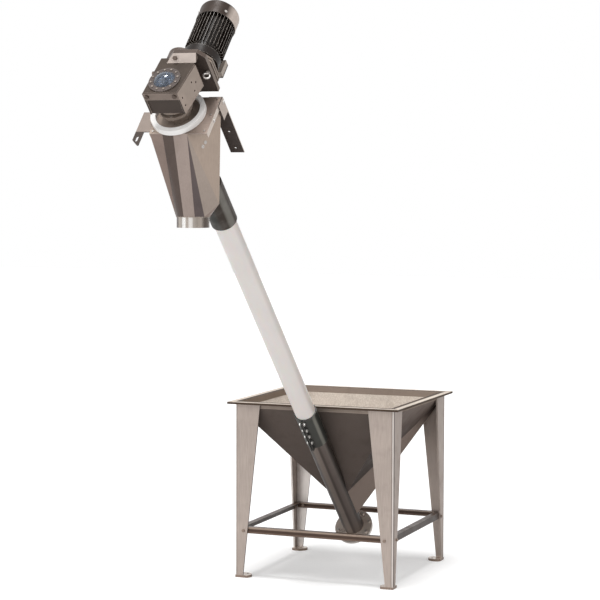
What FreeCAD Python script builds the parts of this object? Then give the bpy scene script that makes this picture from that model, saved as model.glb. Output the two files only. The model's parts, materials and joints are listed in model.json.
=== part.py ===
# Flexible screw conveyor: a square hopper on four legs, an inclined tube with a spring-like
# screw turning inside it, and a discharge head with a geared motor on top.
# Millimetres. +Z is up. The origin is the middle of the four feet, at floor level.
# The conveyor rises towards -Y, in the plane X = 0.

import FreeCAD, Part
import math
import os

V = FreeCAD.Vector

# Stand and hopper
rim_side = 1016.0
rim_height = 1004.0
rim_plate = 10.0
rim_lip_drop = 12.0
rim_lip_wall = 4.0
leg_corner = 472.0
leg_plate = 10.0
leg_width_top = 150.0
leg_width_foot = 46.0
leg_bend_radius = 13.0
foot_radius = 50.0
foot_plate = 14.0
foot_inset = 34.0
anchor_inset = 54.0
anchor_hole_radius = 7.0
hopper_wall = 10.0
hopper_skirt = 26.0
hopper_slant_factor = 1.25
rail_size = 36.0
rail_wall = 5.0
rail_top = 290.0
rail_bolt_inset = 50.0
rail_bolt_radius = 5.0

# Conveyor line: where it starts in the plane X = 0, and how steeply it rises
incline = 44.0
line_start_y = 223.0
line_drop = 814.0

# Tube and inlet
tube_radius = 57.15
tube_wall = 6.35
inlet_radius = 60.65
inlet_wall = 3.0
inlet_flange_radius = 112.0
inlet_flange_plate = 10.0
inlet_flange_bolts = 8
inlet_bolt_circle = 94.0
gasket_thickness = 3.0
cover_plate = 16.0
cover_boss_radius = 48.0
cover_boss_height = 22.0
inlet_bottom = 30.0
mouth_start = 185.0
mouth_length = 218.0
mouth_depth = -10.0
mouth_lap = 26.0
mouth_side_gap = 1.35
inlet_length = 932.0
plug_height = 14.0
plug_gap = 1.0

# Couplings between the steel ends and the plastic tube
clamp_pipe_lap = 72.0
clamp_length = 250.0
clamp_wall = 3.0
clamp_clearance = 2.0
clamp_slit = 5.0
clamp_ear = 24.0
clamp_ear_plate = 6.0
clamp_ear_inset = 4.0
clamp_bolt_count = 4
clamp_bolt_radius = 5.0
clamp_first_bolt = 66.0
clamp_last_bolt = 18.0
tube_length = 1857.0
sleeve_lap = 132.0
sleeve_length = 270.0
sleeve_wall = 10.0
joint_gap = 3.0

# Discharge head, measured along the conveyor line
lid_above_stub = 120.0
lid_plate = 3.0
lid_flange_plate = 3.0
lid_width = 290.0
lid_depth = 240.0
lid_offset = 30.0
lid_flange_drop = 28.0
lid_screw_inset = 13.0
plate_screw_radius = 3.0
head_flange_plate = 3.0
head_wall = 2.0
crease_inset_a = 64.0
crease_inset_b = 119.0
crease_inset_c = 191.0
chute_step_out = 20.0
chute_corner_back = 112.0
chute_corner_drop = 416.0
spigot_radius = 78.0
spigot_wall = 3.0
spigot_back = 88.0
spigot_drop = 476.0
spigot_length = 53.0
spigot_collar = 3.0
spigot_facets = 32
stub_length = 475.0
stub_wall = 2.0
seal_radius = 36.0

# Collar ring, drive flange and drive shaft
collar_radius = 134.0
collar_bore = 110.0
collar_height = 28.0
drive_flange_radius = 80.0
drive_flange_plate = 14.0
drive_flange_height = 44.0
drive_foot_plate = 7.0
drive_neck_radius = 58.0
drive_neck_wall = 7.0
drive_flange_bolt_circle = 68.0
drive_flange_bolts = 6
drive_shaft_radius = 17.5
drive_shaft_bore = 9.0
running_gap = 0.05

# Screw
screw_radius = 46.0
screw_strip_radial = 5.0
screw_strip_axial = 12.0
screw_pitch = 90.0
screw_end_gap = 22.0
screw_below_lid = 168.0
coupler_length = 84.0
coupler_lap = 70.0
coupler_nose = 20.0
coupler_grip = 24.0
coupler_bore = 33.0

# Gearbox block, measured along the line, across it and square to it
drive_height = 90.0
gear_height = 135.0
gear_half_width = 90.0
gear_front = -84.0
gear_back = 150.0
gear_lean_left = 20.0
gear_lean_right = 32.0
gear_shoulder = 105.0
gear_step = 13.0
gear_wall = 8.0
gear_edge = 5.0
gear_recess = 6.0
gear_recess_side = 8.0
gear_band = 45.0
side_hole_radius = 5.0
side_hole_depth = 6.0
gear_bolt_radius = 6.0
gear_bolt_shank = 7.0
front_bolt_x = 70.0
vent_n = 62.0
vent_below_top = 14.0
vent_spot_gap = 0.5
gear_back_wall = 42.0
helical_wheel_gap = 34.0
hollow_shaft_radius = 27.5
output_bearing_radius = 45.0
output_bearing_width = 16.0
bevel_axis_height = 67.0
bevel_ratio = 3
bevel_wheel_radius = 66.0
bevel_face = 22.0
layshaft_radius = 12.5
lay_bearing_radius = 31.0
lay_bearing_width = 16.0

# First gear stage and motor, both square to the conveyor line
motor_x = 40.0
motor_drop = 89.0
stage_reach_left = 110.0
stage_reach_right = 118.0
stage_reach_low = 60.0
stage_rise = 32.0
stage_big_corner = 75.0
stage_small_corner = 35.0
stage_plate_depth = 23.0
stage_depth = 72.0
stage_wall = 5.0
stage_boss = 7.0
stage_boss_lap = 4.0
stage_slope_edge = 2.0
stage_bolt_inset = 12.0
stage_bolt_lean = 45.0
helical_small_radius = 70.0
helical_big_radius = 84.0
helical_ratio = 1.5
helical_face = 24.0
helical_web = 8.0
adapter_half = 95.0
adapter_corner = 35.0
adapter_plate_thickness = 10.0
adapter_gap = 6.0
adapter_bolt_half = 66.0
adapter_neck_radius = 80.0
adapter_neck_wall = 8.0
adapter_neck_length = 27.0
shield_radius = 92.0
shield_length = 45.0
shield_plate = 12.0
shield_wall = 18.0
motor_core_radius = 80.0
motor_core_wall = 7.0
motor_length = 242.0
fin_count = 34
fin_height = 16.0
fin_thickness = 2.6
fin_start_gap = 24.0
terminal_half = 65.0
terminal_length = 87.0
terminal_gap = 2.0
terminal_neck_half = 38.0
terminal_below = 4.0
terminal_height = 28.0
terminal_wall = 4.0
terminal_lid_plate = 10.0
terminal_lid_edge = 3.0
gland_radius = 9.0
gland_bore = 5.0
gland_length = 20.0
gland_thread = 7.0
cowl_radius = 99.0
cowl_length = 88.0
cowl_wall = 2.0
cowl_edge = 14.0
cowl_seat_gap = 0.2
cowl_lug_width = 22.0
cowl_lug_count = 4
end_shield_plate = 10.0
motor_shaft_radius = 12.0
motor_bearing_radius = 31.0
motor_bearing_width = 16.0
rotor_radius = 40.0
air_gap = 0.6
stack_length = 42.0
stack_gap = 105.0
tooth_gap = 0.5
fan_blade_count = 7
fan_hub_radius = 24.0
fan_disc = 3.0

# Cover over the end of the hollow shaft
cover_ring_radius = 77.0
cover_ring_height = 6.0
dome_radius = 52.0
dome_height = 26.0
dome_wall = 3.0
cover_screw_count = 12
cover_screw_circle = 65.0

# Lifting eye
eye_radius = 15.0
eye_rod = 5.0
eye_stem = 6.0
eye_collar = 11.0
eye_collar_height = 6.0
eye_below_top = 92.0
eye_from_edge = 15.0

# Support brackets on the sides of the head
bracket_plate = 5.0
bracket_inner = 63.0
bracket_length = 367.0
bracket_grip = 60.0
bracket_web_drop = 90.0
bracket_hole_radius = 5.5
bracket_hole_inset = 37.0
bracket_first_hole = 117.0
bracket_hole_pitch = 110.0
bracket_hole_count = 3
wing_reach = 75.0
wing_back = 25.0
wing_front = -105.0
wing_arm_width = 42.0
wing_arm_reach = 73.0
wing_tip_cut = 34.0
wing_slot_width = 12.0
wing_slot_length = 34.0
wing_slot_inset = 42.0

# Places that follow from the sizes above
line_start_z = rim_height - line_drop
inlet_end = inlet_bottom + inlet_length
mouth_end = mouth_start + mouth_length
clamp_start = inlet_end - clamp_pipe_lap
clamp_end = clamp_start + clamp_length
tube_start = inlet_end + joint_gap
tube_end = tube_start + tube_length
sleeve_start = tube_end - sleeve_lap
sleeve_end = sleeve_start + sleeve_length
stub_start = tube_end + joint_gap
stub_end = stub_start + stub_length
lid_top = stub_end + lid_above_stub
drive_flange_bottom = lid_top + drive_flange_height
gear_bottom = lid_top + drive_height
gear_top = gear_bottom + gear_height
bevel_axis = gear_bottom + bevel_axis_height
motor_t = bevel_axis - motor_drop
screw_start = inlet_bottom + plug_height + screw_end_gap
screw_end = lid_top - screw_below_lid
through = 8000.0

out_dir = "parts"


def save(name, solids):
    """Write one sub-part, made of one or more solids, to its own file."""
    solids = [s.removeSplitter() for s in solids]
    shape = solids[0] if len(solids) == 1 else Part.makeCompound(solids)
    shape.exportStep(os.path.join(out_dir, name + ".step"))


def box(x0, x1, y0, y1, z0, z1):
    return Part.makeBox(x1 - x0, y1 - y0, z1 - z0, V(x0, y0, z0))


def rod(radius, z0, z1, x=0.0, y=0.0):
    return Part.makeCylinder(radius, z1 - z0, V(x, y, z0))


def ring(outer, inner, z0, z1, x=0.0, y=0.0):
    return rod(outer, z0, z1, x, y).cut(rod(inner, z0 - 1, z1 + 1, x, y))


def around(count, radius, first=0.0):
    """Points evenly spaced on a circle."""
    turns = [first + 360.0 * i / count for i in range(count)]
    return [(radius * math.cos(math.radians(a)), radius * math.sin(math.radians(a))) for a in turns]


def hexagon(across, z0, z1, x=0.0, y=0.0):
    corner = across / 2 / math.cos(math.radians(30))
    points = [V(x + px, y + py, z0) for px, py in around(6, corner)]
    return Part.Face(Part.makePolygon(points + points[:1])).extrude(V(0, 0, z1 - z0))


def bolt(radius, under_head, tip, x=0.0, y=0.0, nut=None):
    """A hexagon bolt along Z, head above under_head, with a nut at height nut if given."""
    side = 1.0 if under_head > tip else -1.0
    head = hexagon(3.2 * radius, 0, 1.4 * radius, x, y)
    head.translate(V(0, 0, under_head if side > 0 else under_head - 1.4 * radius))
    low, high = min(under_head, tip), max(under_head, tip)
    solid = head.fuse(rod(radius, low, high, x, y))
    if nut is not None:
        solid = solid.fuse(hexagon(3.2 * radius, nut, nut + 1.6 * radius, x, y))
    return solid


def polyhedron(points, faces):
    """A closed solid from corner points and lists of corner names."""
    shell = []
    for names in faces:
        corners = [points[n] for n in names]
        shell.append(Part.Face(Part.makePolygon(corners + corners[:1])))
    solid = Part.Solid(Part.Shell(shell))
    if solid.Volume < 0:
        solid.reverse()
    return solid


def prism(points, direction):
    return Part.Face(Part.makePolygon(points + points[:1])).extrude(direction)


# The conveyor line has its own frame: x stays X, y is square to the line (up and back),
# and z runs up the line. The motor frame has its z along that y.
line = FreeCAD.Placement(V(0, line_start_y, line_start_z), FreeCAD.Rotation(V(1, 0, 0), 90.0 - incline))
cross = FreeCAD.Placement(V(0, 0, 0), FreeCAD.Rotation(V(1, 0, 0), -90.0))


def on_line(shape):
    moved = shape.copy()
    moved.Placement = line.multiply(moved.Placement)
    return moved


def point_on_line(x, y, z):
    return line.multVec(V(x, y, z))


def motor_axis(shape, x, t):
    """Turn a shape made along Z so that it lies along the line's y, at x and t."""
    moved = shape.copy()
    moved.Placement = cross.multiply(moved.Placement)
    moved.translate(V(x, 0, t))
    return moved


def leg(sign_x, sign_y):
    """A tapered angle leg bent from plate, with a rounded outer corner."""
    def outline(width, z):
        r, p = leg_bend_radius, leg_plate
        s = math.sqrt(0.5)
        points = [(0, r), (0, width), (p, width), (p, r), (r, p), (width, p), (width, 0), (r, 0)]
        v = [V(a, b, z) for a, b in points]
        outer_mid = V(r - r * s, r - r * s, z)
        inner_mid = V(r - (r - p) * s, r - (r - p) * s, z)
        edges = [Part.makeLine(v[0], v[1]), Part.makeLine(v[1], v[2]), Part.makeLine(v[2], v[3]),
                 Part.Arc(v[3], inner_mid, v[4]).toShape(), Part.makeLine(v[4], v[5]),
                 Part.makeLine(v[5], v[6]), Part.makeLine(v[6], v[7]),
                 Part.Arc(v[7], outer_mid, v[0]).toShape()]
        return Part.Wire(edges)
    solid = Part.makeLoft([outline(leg_width_foot, foot_plate),
                           outline(leg_width_top, rim_height - rim_plate)], True, True)
    quarter = {(-1, -1): 0, (1, -1): 90, (1, 1): 180, (-1, 1): 270}[(sign_x, sign_y)]
    solid.rotate(V(0, 0, 0), V(0, 0, 1), quarter)
    solid.translate(V(sign_x * leg_corner, sign_y * leg_corner, 0))
    return solid.cut(rail_bolt_holes)


def foot(sign_x, sign_y):
    """A round foot plate, cut off flush with the outside of the leg."""
    centre = leg_corner - foot_inset
    hole = leg_corner - anchor_inset
    pad = rod(foot_radius, 0, foot_plate, sign_x * centre, sign_y * centre)
    pad = pad.common(box(-leg_corner, leg_corner, -leg_corner, leg_corner, 0, foot_plate))
    return pad.cut(rod(anchor_hole_radius, -1, foot_plate + 1, sign_x * hole, sign_y * hole))


corners = [(-1, -1), (1, -1), (1, 1), (-1, 1)]
corner_names = ["front_left", "front_right", "back_right", "back_left"]
leg_inside = leg_corner - leg_plate
rail_bolt_z = rail_top - rail_size / 2 - rail_wall / 2
front_rail_half = leg_inside - 4.0
side_rail_half = leg_inside - rail_size - 1.0
side_bolt_inset = leg_corner - side_rail_half + 14.0


def rail(half, side_length):
    """An angle rail along X, flange up and inward, for the side facing -Y."""
    outer = -leg_inside
    solid = box(-half, half, outer, outer + rail_wall, rail_top - rail_size, rail_top)
    return solid.fuse(box(-half, half, outer, outer + side_length, rail_top - rail_wall, rail_top))


def rail_bolts_for(half_bolt):
    """The two bolts of a rail along X, through leg and rail, head outside."""
    solids = []
    for side in (-1, 1):
        reach = leg_plate + rail_wall
        one = bolt(rail_bolt_radius, 0, -reach - 10, nut=-reach - 1.6 * rail_bolt_radius)
        one.rotate(V(0, 0, 0), V(1, 0, 0), 90)
        one.translate(V(side * half_bolt, -leg_corner, rail_bolt_z))
        solids.append(one)
    return solids


def turned(shape, degrees):
    moved = shape.copy()
    moved.rotate(V(0, 0, 0), V(0, 0, 1), degrees)
    return moved


front_bolt_half = leg_corner - rail_bolt_inset
side_bolt_half = leg_corner - side_bolt_inset
rail_turns = {"rail_front": 0, "rail_right": 90, "rail_back": 180, "rail_left": 270}
rail_halves = {name: (front_rail_half if turn in (0, 180) else side_rail_half)
               for name, turn in rail_turns.items()}
rail_bolt_halves = {name: (front_bolt_half if turn in (0, 180) else side_bolt_half)
                    for name, turn in rail_turns.items()}
rail_bolts = []
hole_rods = []
for name, turn in rail_turns.items():
    for one in rail_bolts_for(rail_bolt_halves[name]):
        rail_bolts.append(turned(one, turn))
    for side in (-1, 1):
        start = V(side * rail_bolt_halves[name], -leg_corner - 20, rail_bolt_z)
        hole = Part.makeCylinder(rail_bolt_radius, 60, start, V(0, 1, 0))
        hole_rods.append(turned(hole, turn))
rail_bolt_holes = Part.makeCompound(hole_rods)


def hopper_corners(inset, top, drop):
    """Corners of the hopper's inside or outside: the square top and the slanted mouth."""
    half = leg_inside - inset
    side = inlet_radius + mouth_side_gap - inset
    front = point_on_line(0, mouth_depth, mouth_end)
    back = point_on_line(0, mouth_depth, mouth_start)
    step = V(0, -math.sin(math.radians(incline)), -math.cos(math.radians(incline))) * drop
    points = {}
    for name, (sx, sy) in zip(corner_names, corners):
        points["top_" + name] = V(sx * half, sy * half, top)
        points["skirt_" + name] = V(sx * half, sy * half, rim_height - rim_plate - hopper_skirt)
        edge = V(0, front.y + inset, front.z) if sy < 0 else V(0, back.y - inset, back.z)
        points["mouth_" + name] = edge + step + V(sx * side, 0, 0)
    return points


def hopper_solid(inset, top, drop):
    points = hopper_corners(inset, top, drop)
    order = corner_names
    faces = [["top_" + n for n in order], ["mouth_" + n for n in order]]
    for i in range(4):
        a, b = order[i], order[(i + 1) % 4]
        faces.append(["top_" + a, "top_" + b, "skirt_" + b, "skirt_" + a])
    faces.append(["skirt_front_left", "skirt_front_right", "mouth_front_right", "mouth_front_left"])
    faces.append(["skirt_back_left", "skirt_back_right", "mouth_back_right", "mouth_back_left"])
    for side in ("left", "right"):
        faces.append(["skirt_front_" + side, "skirt_back_" + side, "mouth_front_" + side])
        faces.append(["skirt_back_" + side, "mouth_back_" + side, "mouth_front_" + side])
    return polyhedron(points, faces)


def hopper():
    """Folded sheet hopper: flat rim with a turned-down lip, a short skirt and slanted walls."""
    slant = hopper_wall * hopper_slant_factor
    body = hopper_solid(0.0, rim_height, 0.0)
    half = rim_side / 2
    rim = box(-half, half, -half, half, rim_height - rim_plate, rim_height)
    lip = box(-half, half, -half, half, rim_height - rim_lip_drop, rim_height)
    inner = half - rim_lip_wall
    lip = lip.cut(box(-inner, inner, -inner, inner, 0, rim_height - rim_plate / 2))
    body = body.fuse([rim, lip])
    body = body.cut(hopper_solid(slant, rim_height + 1, 4.0))
    body = body.cut(on_line(rod(inlet_radius, inlet_bottom, inlet_end)))
    body = body.cut(on_line(rod(clamp_outer + clamp_clearance, clamp_start - clamp_clearance, clamp_end)))
    return body.cut(Part.makeCompound(legs))


def inlet_tube():
    """Steel pipe at the bottom of the hopper, open on top under the hopper's mouth."""
    tube = ring(inlet_radius, inlet_radius - inlet_wall, inlet_bottom, inlet_end)
    cut = box(-100, 100, mouth_depth, 100, mouth_start + mouth_lap, mouth_end - hopper_wall)
    return on_line(tube.cut(cut))


flange_top = inlet_bottom + inlet_flange_plate
gasket_bottom = inlet_bottom - gasket_thickness
cover_bottom = gasket_bottom - cover_plate
inlet_bolt_points = around(inlet_flange_bolts, inlet_bolt_circle, 22.5)


def with_bolt_holes(shape, points, radius):
    holes = [rod(radius, -through, through, x, y) for x, y in points]
    return shape.cut(Part.makeCompound(holes))


def inlet_flange():
    plate = ring(inlet_flange_radius, inlet_radius, inlet_bottom, flange_top)
    return on_line(with_bolt_holes(plate, inlet_bolt_points, 5.0))


def inlet_gasket():
    plate = ring(inlet_flange_radius - 4, inlet_radius - inlet_wall, gasket_bottom, inlet_bottom)
    return on_line(with_bolt_holes(plate, inlet_bolt_points, 5.0))


def end_cover():
    """White plastic end cover with a domed boss below."""
    plate = rod(inlet_flange_radius - 2, cover_bottom, gasket_bottom)
    boss = Part.makeCone(cover_boss_radius * 0.8, cover_boss_radius, cover_boss_height,
                         V(0, 0, cover_bottom - cover_boss_height))
    plug = rod(inlet_radius - inlet_wall - plug_gap, gasket_bottom, inlet_bottom + plug_height)
    solid = with_bolt_holes(plate.fuse([boss, plug]), inlet_bolt_points, 5.0)
    return on_line(solid)


def cover_bolts():
    return [on_line(bolt(5.0, flange_top, cover_bottom - 12, x, y, cover_bottom - 8.0))
            for x, y in inlet_bolt_points]


clamp_inner = inlet_radius
clamp_outer = clamp_inner + clamp_wall


def lower_clamp():
    """Split clamp round the joint of pipe and plastic tube, closed by a row of bolts on ears."""
    shell = ring(clamp_outer, clamp_inner, clamp_start, clamp_end)
    half = clamp_slit / 2 + clamp_ear_plate
    ears = box(-half, half, -clamp_outer - clamp_ear, -clamp_inner,
               clamp_start + clamp_ear_inset, clamp_end - clamp_ear_inset)
    body = shell.fuse(ears)
    body = body.cut(rod(clamp_inner, clamp_start - 1, clamp_end + 1))
    body = body.cut(box(-clamp_slit / 2, clamp_slit / 2, -clamp_outer - clamp_ear - 1, 0,
                        clamp_start - 1, clamp_end + 1))
    for z in clamp_bolt_heights():
        start = V(-clamp_inner, clamp_bolt_y(), z)
        body = body.cut(Part.makeCylinder(clamp_bolt_radius, 2 * clamp_inner, start, V(1, 0, 0)))
    return on_line(body)


def clamp_bolt_y():
    return -clamp_outer - clamp_ear / 2


def clamp_bolt_heights():
    low, high = clamp_start + clamp_first_bolt, clamp_end - clamp_last_bolt
    return [low + (high - low) * i / (clamp_bolt_count - 1) for i in range(clamp_bolt_count)]


def clamp_bolts():
    half = clamp_slit / 2 + clamp_ear_plate
    solids = []
    for z in clamp_bolt_heights():
        one = bolt(clamp_bolt_radius, half, -half - 9, nut=-half - 1.6 * clamp_bolt_radius)
        one.rotate(V(0, 0, 0), V(0, 1, 0), 90)
        one.translate(V(0, clamp_bolt_y(), z))
        solids.append(on_line(one))
    return solids


def clamp_liner():
    return on_line(ring(clamp_inner, tube_radius, tube_start, clamp_end))


def conveyor_tube():
    return on_line(ring(tube_radius, tube_radius - tube_wall, tube_start, tube_end))


def upper_sleeve():
    return on_line(ring(tube_radius + sleeve_wall, tube_radius, sleeve_start, sleeve_end))


# Discharge head
lid_bottom = lid_top - lid_plate
head_top = lid_bottom
head_neck = head_top - head_flange_plate
lid_left = lid_offset - lid_width / 2
lid_right = lid_offset + lid_width / 2
lid_front = -lid_depth / 2
lid_back = lid_depth / 2
lid_centre = point_on_line(0, 0, lid_top)
chute_corner_y = lid_centre.y + chute_corner_back
chute_corner_z = lid_centre.z - chute_corner_drop
spigot_y = lid_centre.y + spigot_back
spigot_top = lid_centre.z - spigot_drop


chute_top = ["front_left", "crease_a", "crease_b", "crease_c", "back_right", "back_left"]


def chute_solid(inset, raise_top, drop):
    """The folded body from the flat top to the round outlet.

    Front creases fan out from three points on the front edge, as a press brake makes them.
    """
    z = head_neck + raise_top
    left, right = lid_left + inset, lid_right - inset
    front, back = lid_front + inset, lid_back - inset
    points = {
        "front_left": point_on_line(left, front, z),
        "crease_a": point_on_line(lid_left + crease_inset_a, front, z),
        "crease_b": point_on_line(lid_left + crease_inset_b, front, z),
        "crease_c": point_on_line(lid_left + crease_inset_c - inset, front, z),
        "back_right": point_on_line(right, back, z),
        "back_left": point_on_line(left, back, z),
        "corner": V(lid_right - chute_step_out - 1.5 * inset, chute_corner_y - 0.5 * inset, chute_corner_z),
    }
    step = 360.0 / spigot_facets
    radius = spigot_radius + spigot_collar - inset
    for i in range(spigot_facets):
        a = math.radians(step * i)
        points[i] = V(lid_offset + radius * math.sin(a), spigot_y - radius * math.cos(a), spigot_top - drop)

    def fan(corner, first, last):
        return [[corner, i % spigot_facets, (i + 1) % spigot_facets] for i in range(first, last)]

    def at(degrees):
        return int(round(degrees / step))
    n_left, n_band, n_front = at(-64), at(-11), at(11)
    n_right, n_side = at(64), at(124)
    n_back, n_far = at(180), at(247)
    n_wrap = n_left + spigot_facets
    faces = [chute_top, list(range(spigot_facets))]
    faces += fan("crease_a", n_left, n_band)
    faces += fan("crease_b", n_band, n_front)
    faces += fan("crease_c", n_front, n_right)
    faces += fan("corner", n_right, n_side)
    faces += fan("back_right", n_side, n_back)
    faces += fan("back_left", n_back, n_far)
    faces += fan("front_left", n_far, n_wrap)
    faces += [["crease_a", "crease_b", n_band % spigot_facets],
              ["crease_b", "crease_c", n_front],
              ["crease_c", "corner", n_right],
              ["crease_c", "back_right", "corner"],
              ["back_right", "corner", n_side],
              ["back_right", "back_left", n_back],
              ["back_left", "front_left", n_far],
              ["front_left", "crease_a", n_left % spigot_facets]]
    return polyhedron(points, faces), points


def discharge_housing():
    outer, points = chute_solid(0.0, 0.0, 0.0)
    inner, inner_points = chute_solid(head_wall, 0.0, 0.0)
    up = point_on_line(0, 0, 20) - point_on_line(0, 0, 0)
    throat_top = prism([inner_points[n] for n in chute_top], up)
    throat_low = prism([inner_points[i] for i in range(spigot_facets)], V(0, 0, -5))
    flange = on_line(box(lid_left, lid_right, lid_front, lid_back, head_neck, head_top))
    body = outer.fuse(flange).cut(inner).cut(throat_top).cut(throat_low)
    screw_holes = [rod(plate_screw_radius, head_neck - 10, head_top + 1, x, y) for x, y in lid_screw_points]
    body = body.cut(on_line(Part.makeCompound(screw_holes)))
    return body.cut(on_line(rod(tube_radius, sleeve_start, stub_end + 20)))


def discharge_stub():
    return on_line(ring(tube_radius, tube_radius - stub_wall, stub_start, stub_end))


def discharge_spigot():
    low = spigot_top - spigot_length
    tube = ring(spigot_radius, spigot_radius - spigot_wall, low, spigot_top, lid_offset, spigot_y)
    collar = ring(spigot_radius + spigot_collar - 1, spigot_radius - 1, spigot_top - 5, spigot_top,
                  lid_offset, spigot_y)
    return tube.fuse(collar)


lid_screw_y = lid_depth / 2 - lid_screw_inset
lid_screw_points = [(lid_left + lid_screw_inset, -lid_screw_y), (lid_left + lid_screw_inset, lid_screw_y),
                    (lid_right - lid_screw_inset, -lid_screw_y), (lid_right - lid_screw_inset, 0.0),
                    (lid_right - lid_screw_inset, lid_screw_y)]


def drive_plate():
    """Lid of the head, with flanges turned down over both sides."""
    low = lid_top - lid_flange_drop
    plate = box(flange_left, flange_right, lid_front, lid_back, lid_bottom, lid_top)
    left = box(flange_left, lid_left, lid_front, lid_back, low, lid_top)
    right = box(lid_right, flange_right, lid_front, lid_back, low, lid_top)
    plate = plate.fuse([left, right]).cut(rod(seal_radius, low, lid_top + 1))
    return on_line(with_bolt_holes(plate, lid_screw_points, plate_screw_radius))


flange_left = lid_left - lid_flange_plate
flange_right = lid_right + lid_flange_plate


def plate_screws():
    solids = [on_line(bolt(plate_screw_radius, lid_top, lid_bottom - 8, x, y)) for x, y in lid_screw_points]
    return solids


def shaft_seal():
    body = ring(seal_radius, drive_shaft_radius + running_gap, lid_bottom - 8, lid_top)
    lip = ring(seal_radius + 9, drive_shaft_radius + running_gap, lid_top, lid_top + 9)
    return on_line(body.fuse(lip))


def collar_ring():
    """White plastic ring between the lid and the drive."""
    return on_line(ring(collar_radius, collar_bore, lid_top, lid_top + collar_height))


def drive_flange():
    """Cast neck from the lid to the gearbox, with a bolting flange."""
    low = lid_top
    foot_ring = rod(collar_bore - 1.0, low, low + drive_foot_plate)
    neck = rod(drive_neck_radius, low, gear_bottom)
    flange = rod(drive_flange_radius, drive_flange_bottom, drive_flange_bottom + drive_flange_plate)
    upper = rod(drive_flange_radius - 6, gear_bottom - 16, gear_bottom)
    body = foot_ring.fuse([neck, flange, upper])
    body = body.cut(rod(drive_neck_radius - drive_neck_wall, low - 1, gear_bottom + 1))
    return on_line(with_bolt_holes(body, drive_bolt_points, 4.0))


drive_bolt_points = around(drive_flange_bolts, drive_flange_bolt_circle, 30.0)


def drive_flange_bolts_solids():
    top = drive_flange_bottom + drive_flange_plate
    return [on_line(bolt(4.0, top, drive_flange_bottom - 12, x, y, drive_flange_bottom - 6.4))
            for x, y in drive_bolt_points]


# Gearbox
cavity_bottom = gear_bottom + gear_wall
cavity_top = gear_top - gear_wall
cavity_back = gear_back - gear_back_wall
lay_bearing_front = cavity_back + 4.0
output_bearing_low = gear_bottom + 2.0
output_bearing_high = gear_top - 2.0 - output_bearing_width


def gear_outline(inset, back):
    """The gearbox, or its cavity, seen along the line: its sides lean towards the motor's side."""
    def left(n):
        return inset - gear_half_width + gear_lean_left * (n - gear_front) / (gear_back - gear_front)
    front = gear_front + inset + (gear_recess if inset else 0)
    right = gear_half_width - inset
    shoulder = V(right + gear_lean_right, gear_shoulder - inset, 0)
    points = [V(left(front), front, 0), V(right, front, 0), shoulder]
    if not inset:
        points.append(V(right, gear_shoulder + gear_step, 0))
    return points + [V(right, back, 0), V(left(back), back, 0)]


def side_face(n):
    """Where the gearbox's leaning right face stands."""
    return gear_half_width + gear_lean_right * (n - gear_front) / (gear_shoulder - gear_front)


side_holes = [(-62.0, 35.0), (-62.0, 82.0), (34.0, 35.0), (34.0, 88.0), (62.0, 62.0)]
front_bolt_t = gear_top - gear_band / 2
vent_t = gear_top - vent_below_top


def gearbox_housing():
    """Cast block with leaning sides and a recessed front, bored for both shafts."""
    block = prism(gear_outline(0, gear_back), V(0, 0, gear_height))
    block.translate(V(0, 0, gear_bottom))
    rim = [e for e in block.Edges if e.BoundBox.ZMin > gear_top - 0.1 and e.BoundBox.YMin < gear_shoulder - 1]
    block = block.makeChamfer(gear_edge, rim)
    recess = gear_half_width - gear_recess_side
    block = block.cut(box(-recess, recess, gear_front - 1, gear_front + gear_recess,
                          gear_bottom - 1, gear_top - gear_band))
    cavity = prism(gear_outline(gear_wall, cavity_back), V(0, 0, cavity_top - cavity_bottom))
    cavity.translate(V(0, 0, cavity_bottom))
    block = block.cut(cavity).cut(rod(output_bearing_radius, gear_bottom - 1, gear_top + 1))
    cuts = [motor_axis(rod(lay_bearing_radius, cavity_back - 1, gear_back + 1), 0, bevel_axis)]
    for n, height in side_holes:
        cuts.append(Part.makeCylinder(side_hole_radius, side_hole_depth + 4,
                                      V(side_face(n) - side_hole_depth, n, gear_bottom + height), V(1, 0, 0)))
    for x in (-front_bolt_x, front_bolt_x):
        hole = rod(gear_bolt_radius, gear_front - 1, gear_front + gear_bolt_shank)
        cuts.append(motor_axis(hole, x, front_bolt_t))
    spot = 2 * gear_bolt_radius + vent_spot_gap
    vent = V(vent_face, vent_n, vent_t)
    cuts.append(Part.makeCylinder(gear_bolt_radius, gear_bolt_shank, vent, V(1, 0, 0)))
    cuts.append(Part.makeCylinder(spot, 5, V(vent_face - 5, vent_n, vent_t), V(1, 0, 0)))
    return on_line(block.cut(Part.makeCompound(cuts)))


vent_face = -gear_half_width + gear_lean_left * (vent_n - gear_front) / (gear_back - gear_front)


def cover_ring():
    body = ring(cover_ring_radius, dome_radius - 6, gear_top, gear_top + cover_ring_height)
    return on_line(with_bolt_holes(body, cover_screw_points, 3.0))


cover_screw_points = around(cover_screw_count, cover_screw_circle, 15.0)


def cover_screws():
    top = gear_top + cover_ring_height
    return [on_line(rod(5.0, top, top + 3.2, x, y).fuse(rod(3.0, gear_top + 0.5, top, x, y)))
            for x, y in cover_screw_points]


def shaft_cover():
    """Clear dome: the end of a sphere cap, hollow, with a flat foot inside the ring."""
    base = gear_top + cover_ring_height
    sphere = (dome_radius ** 2 + dome_height ** 2) / (2 * dome_height)
    centre = V(0, 0, base + dome_height - sphere)
    cap = Part.makeSphere(sphere, centre).cut(Part.makeSphere(sphere - dome_wall, centre))
    cap = cap.common(rod(dome_radius + 5, base, base + dome_height + 10))
    return on_line(cap)


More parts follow.
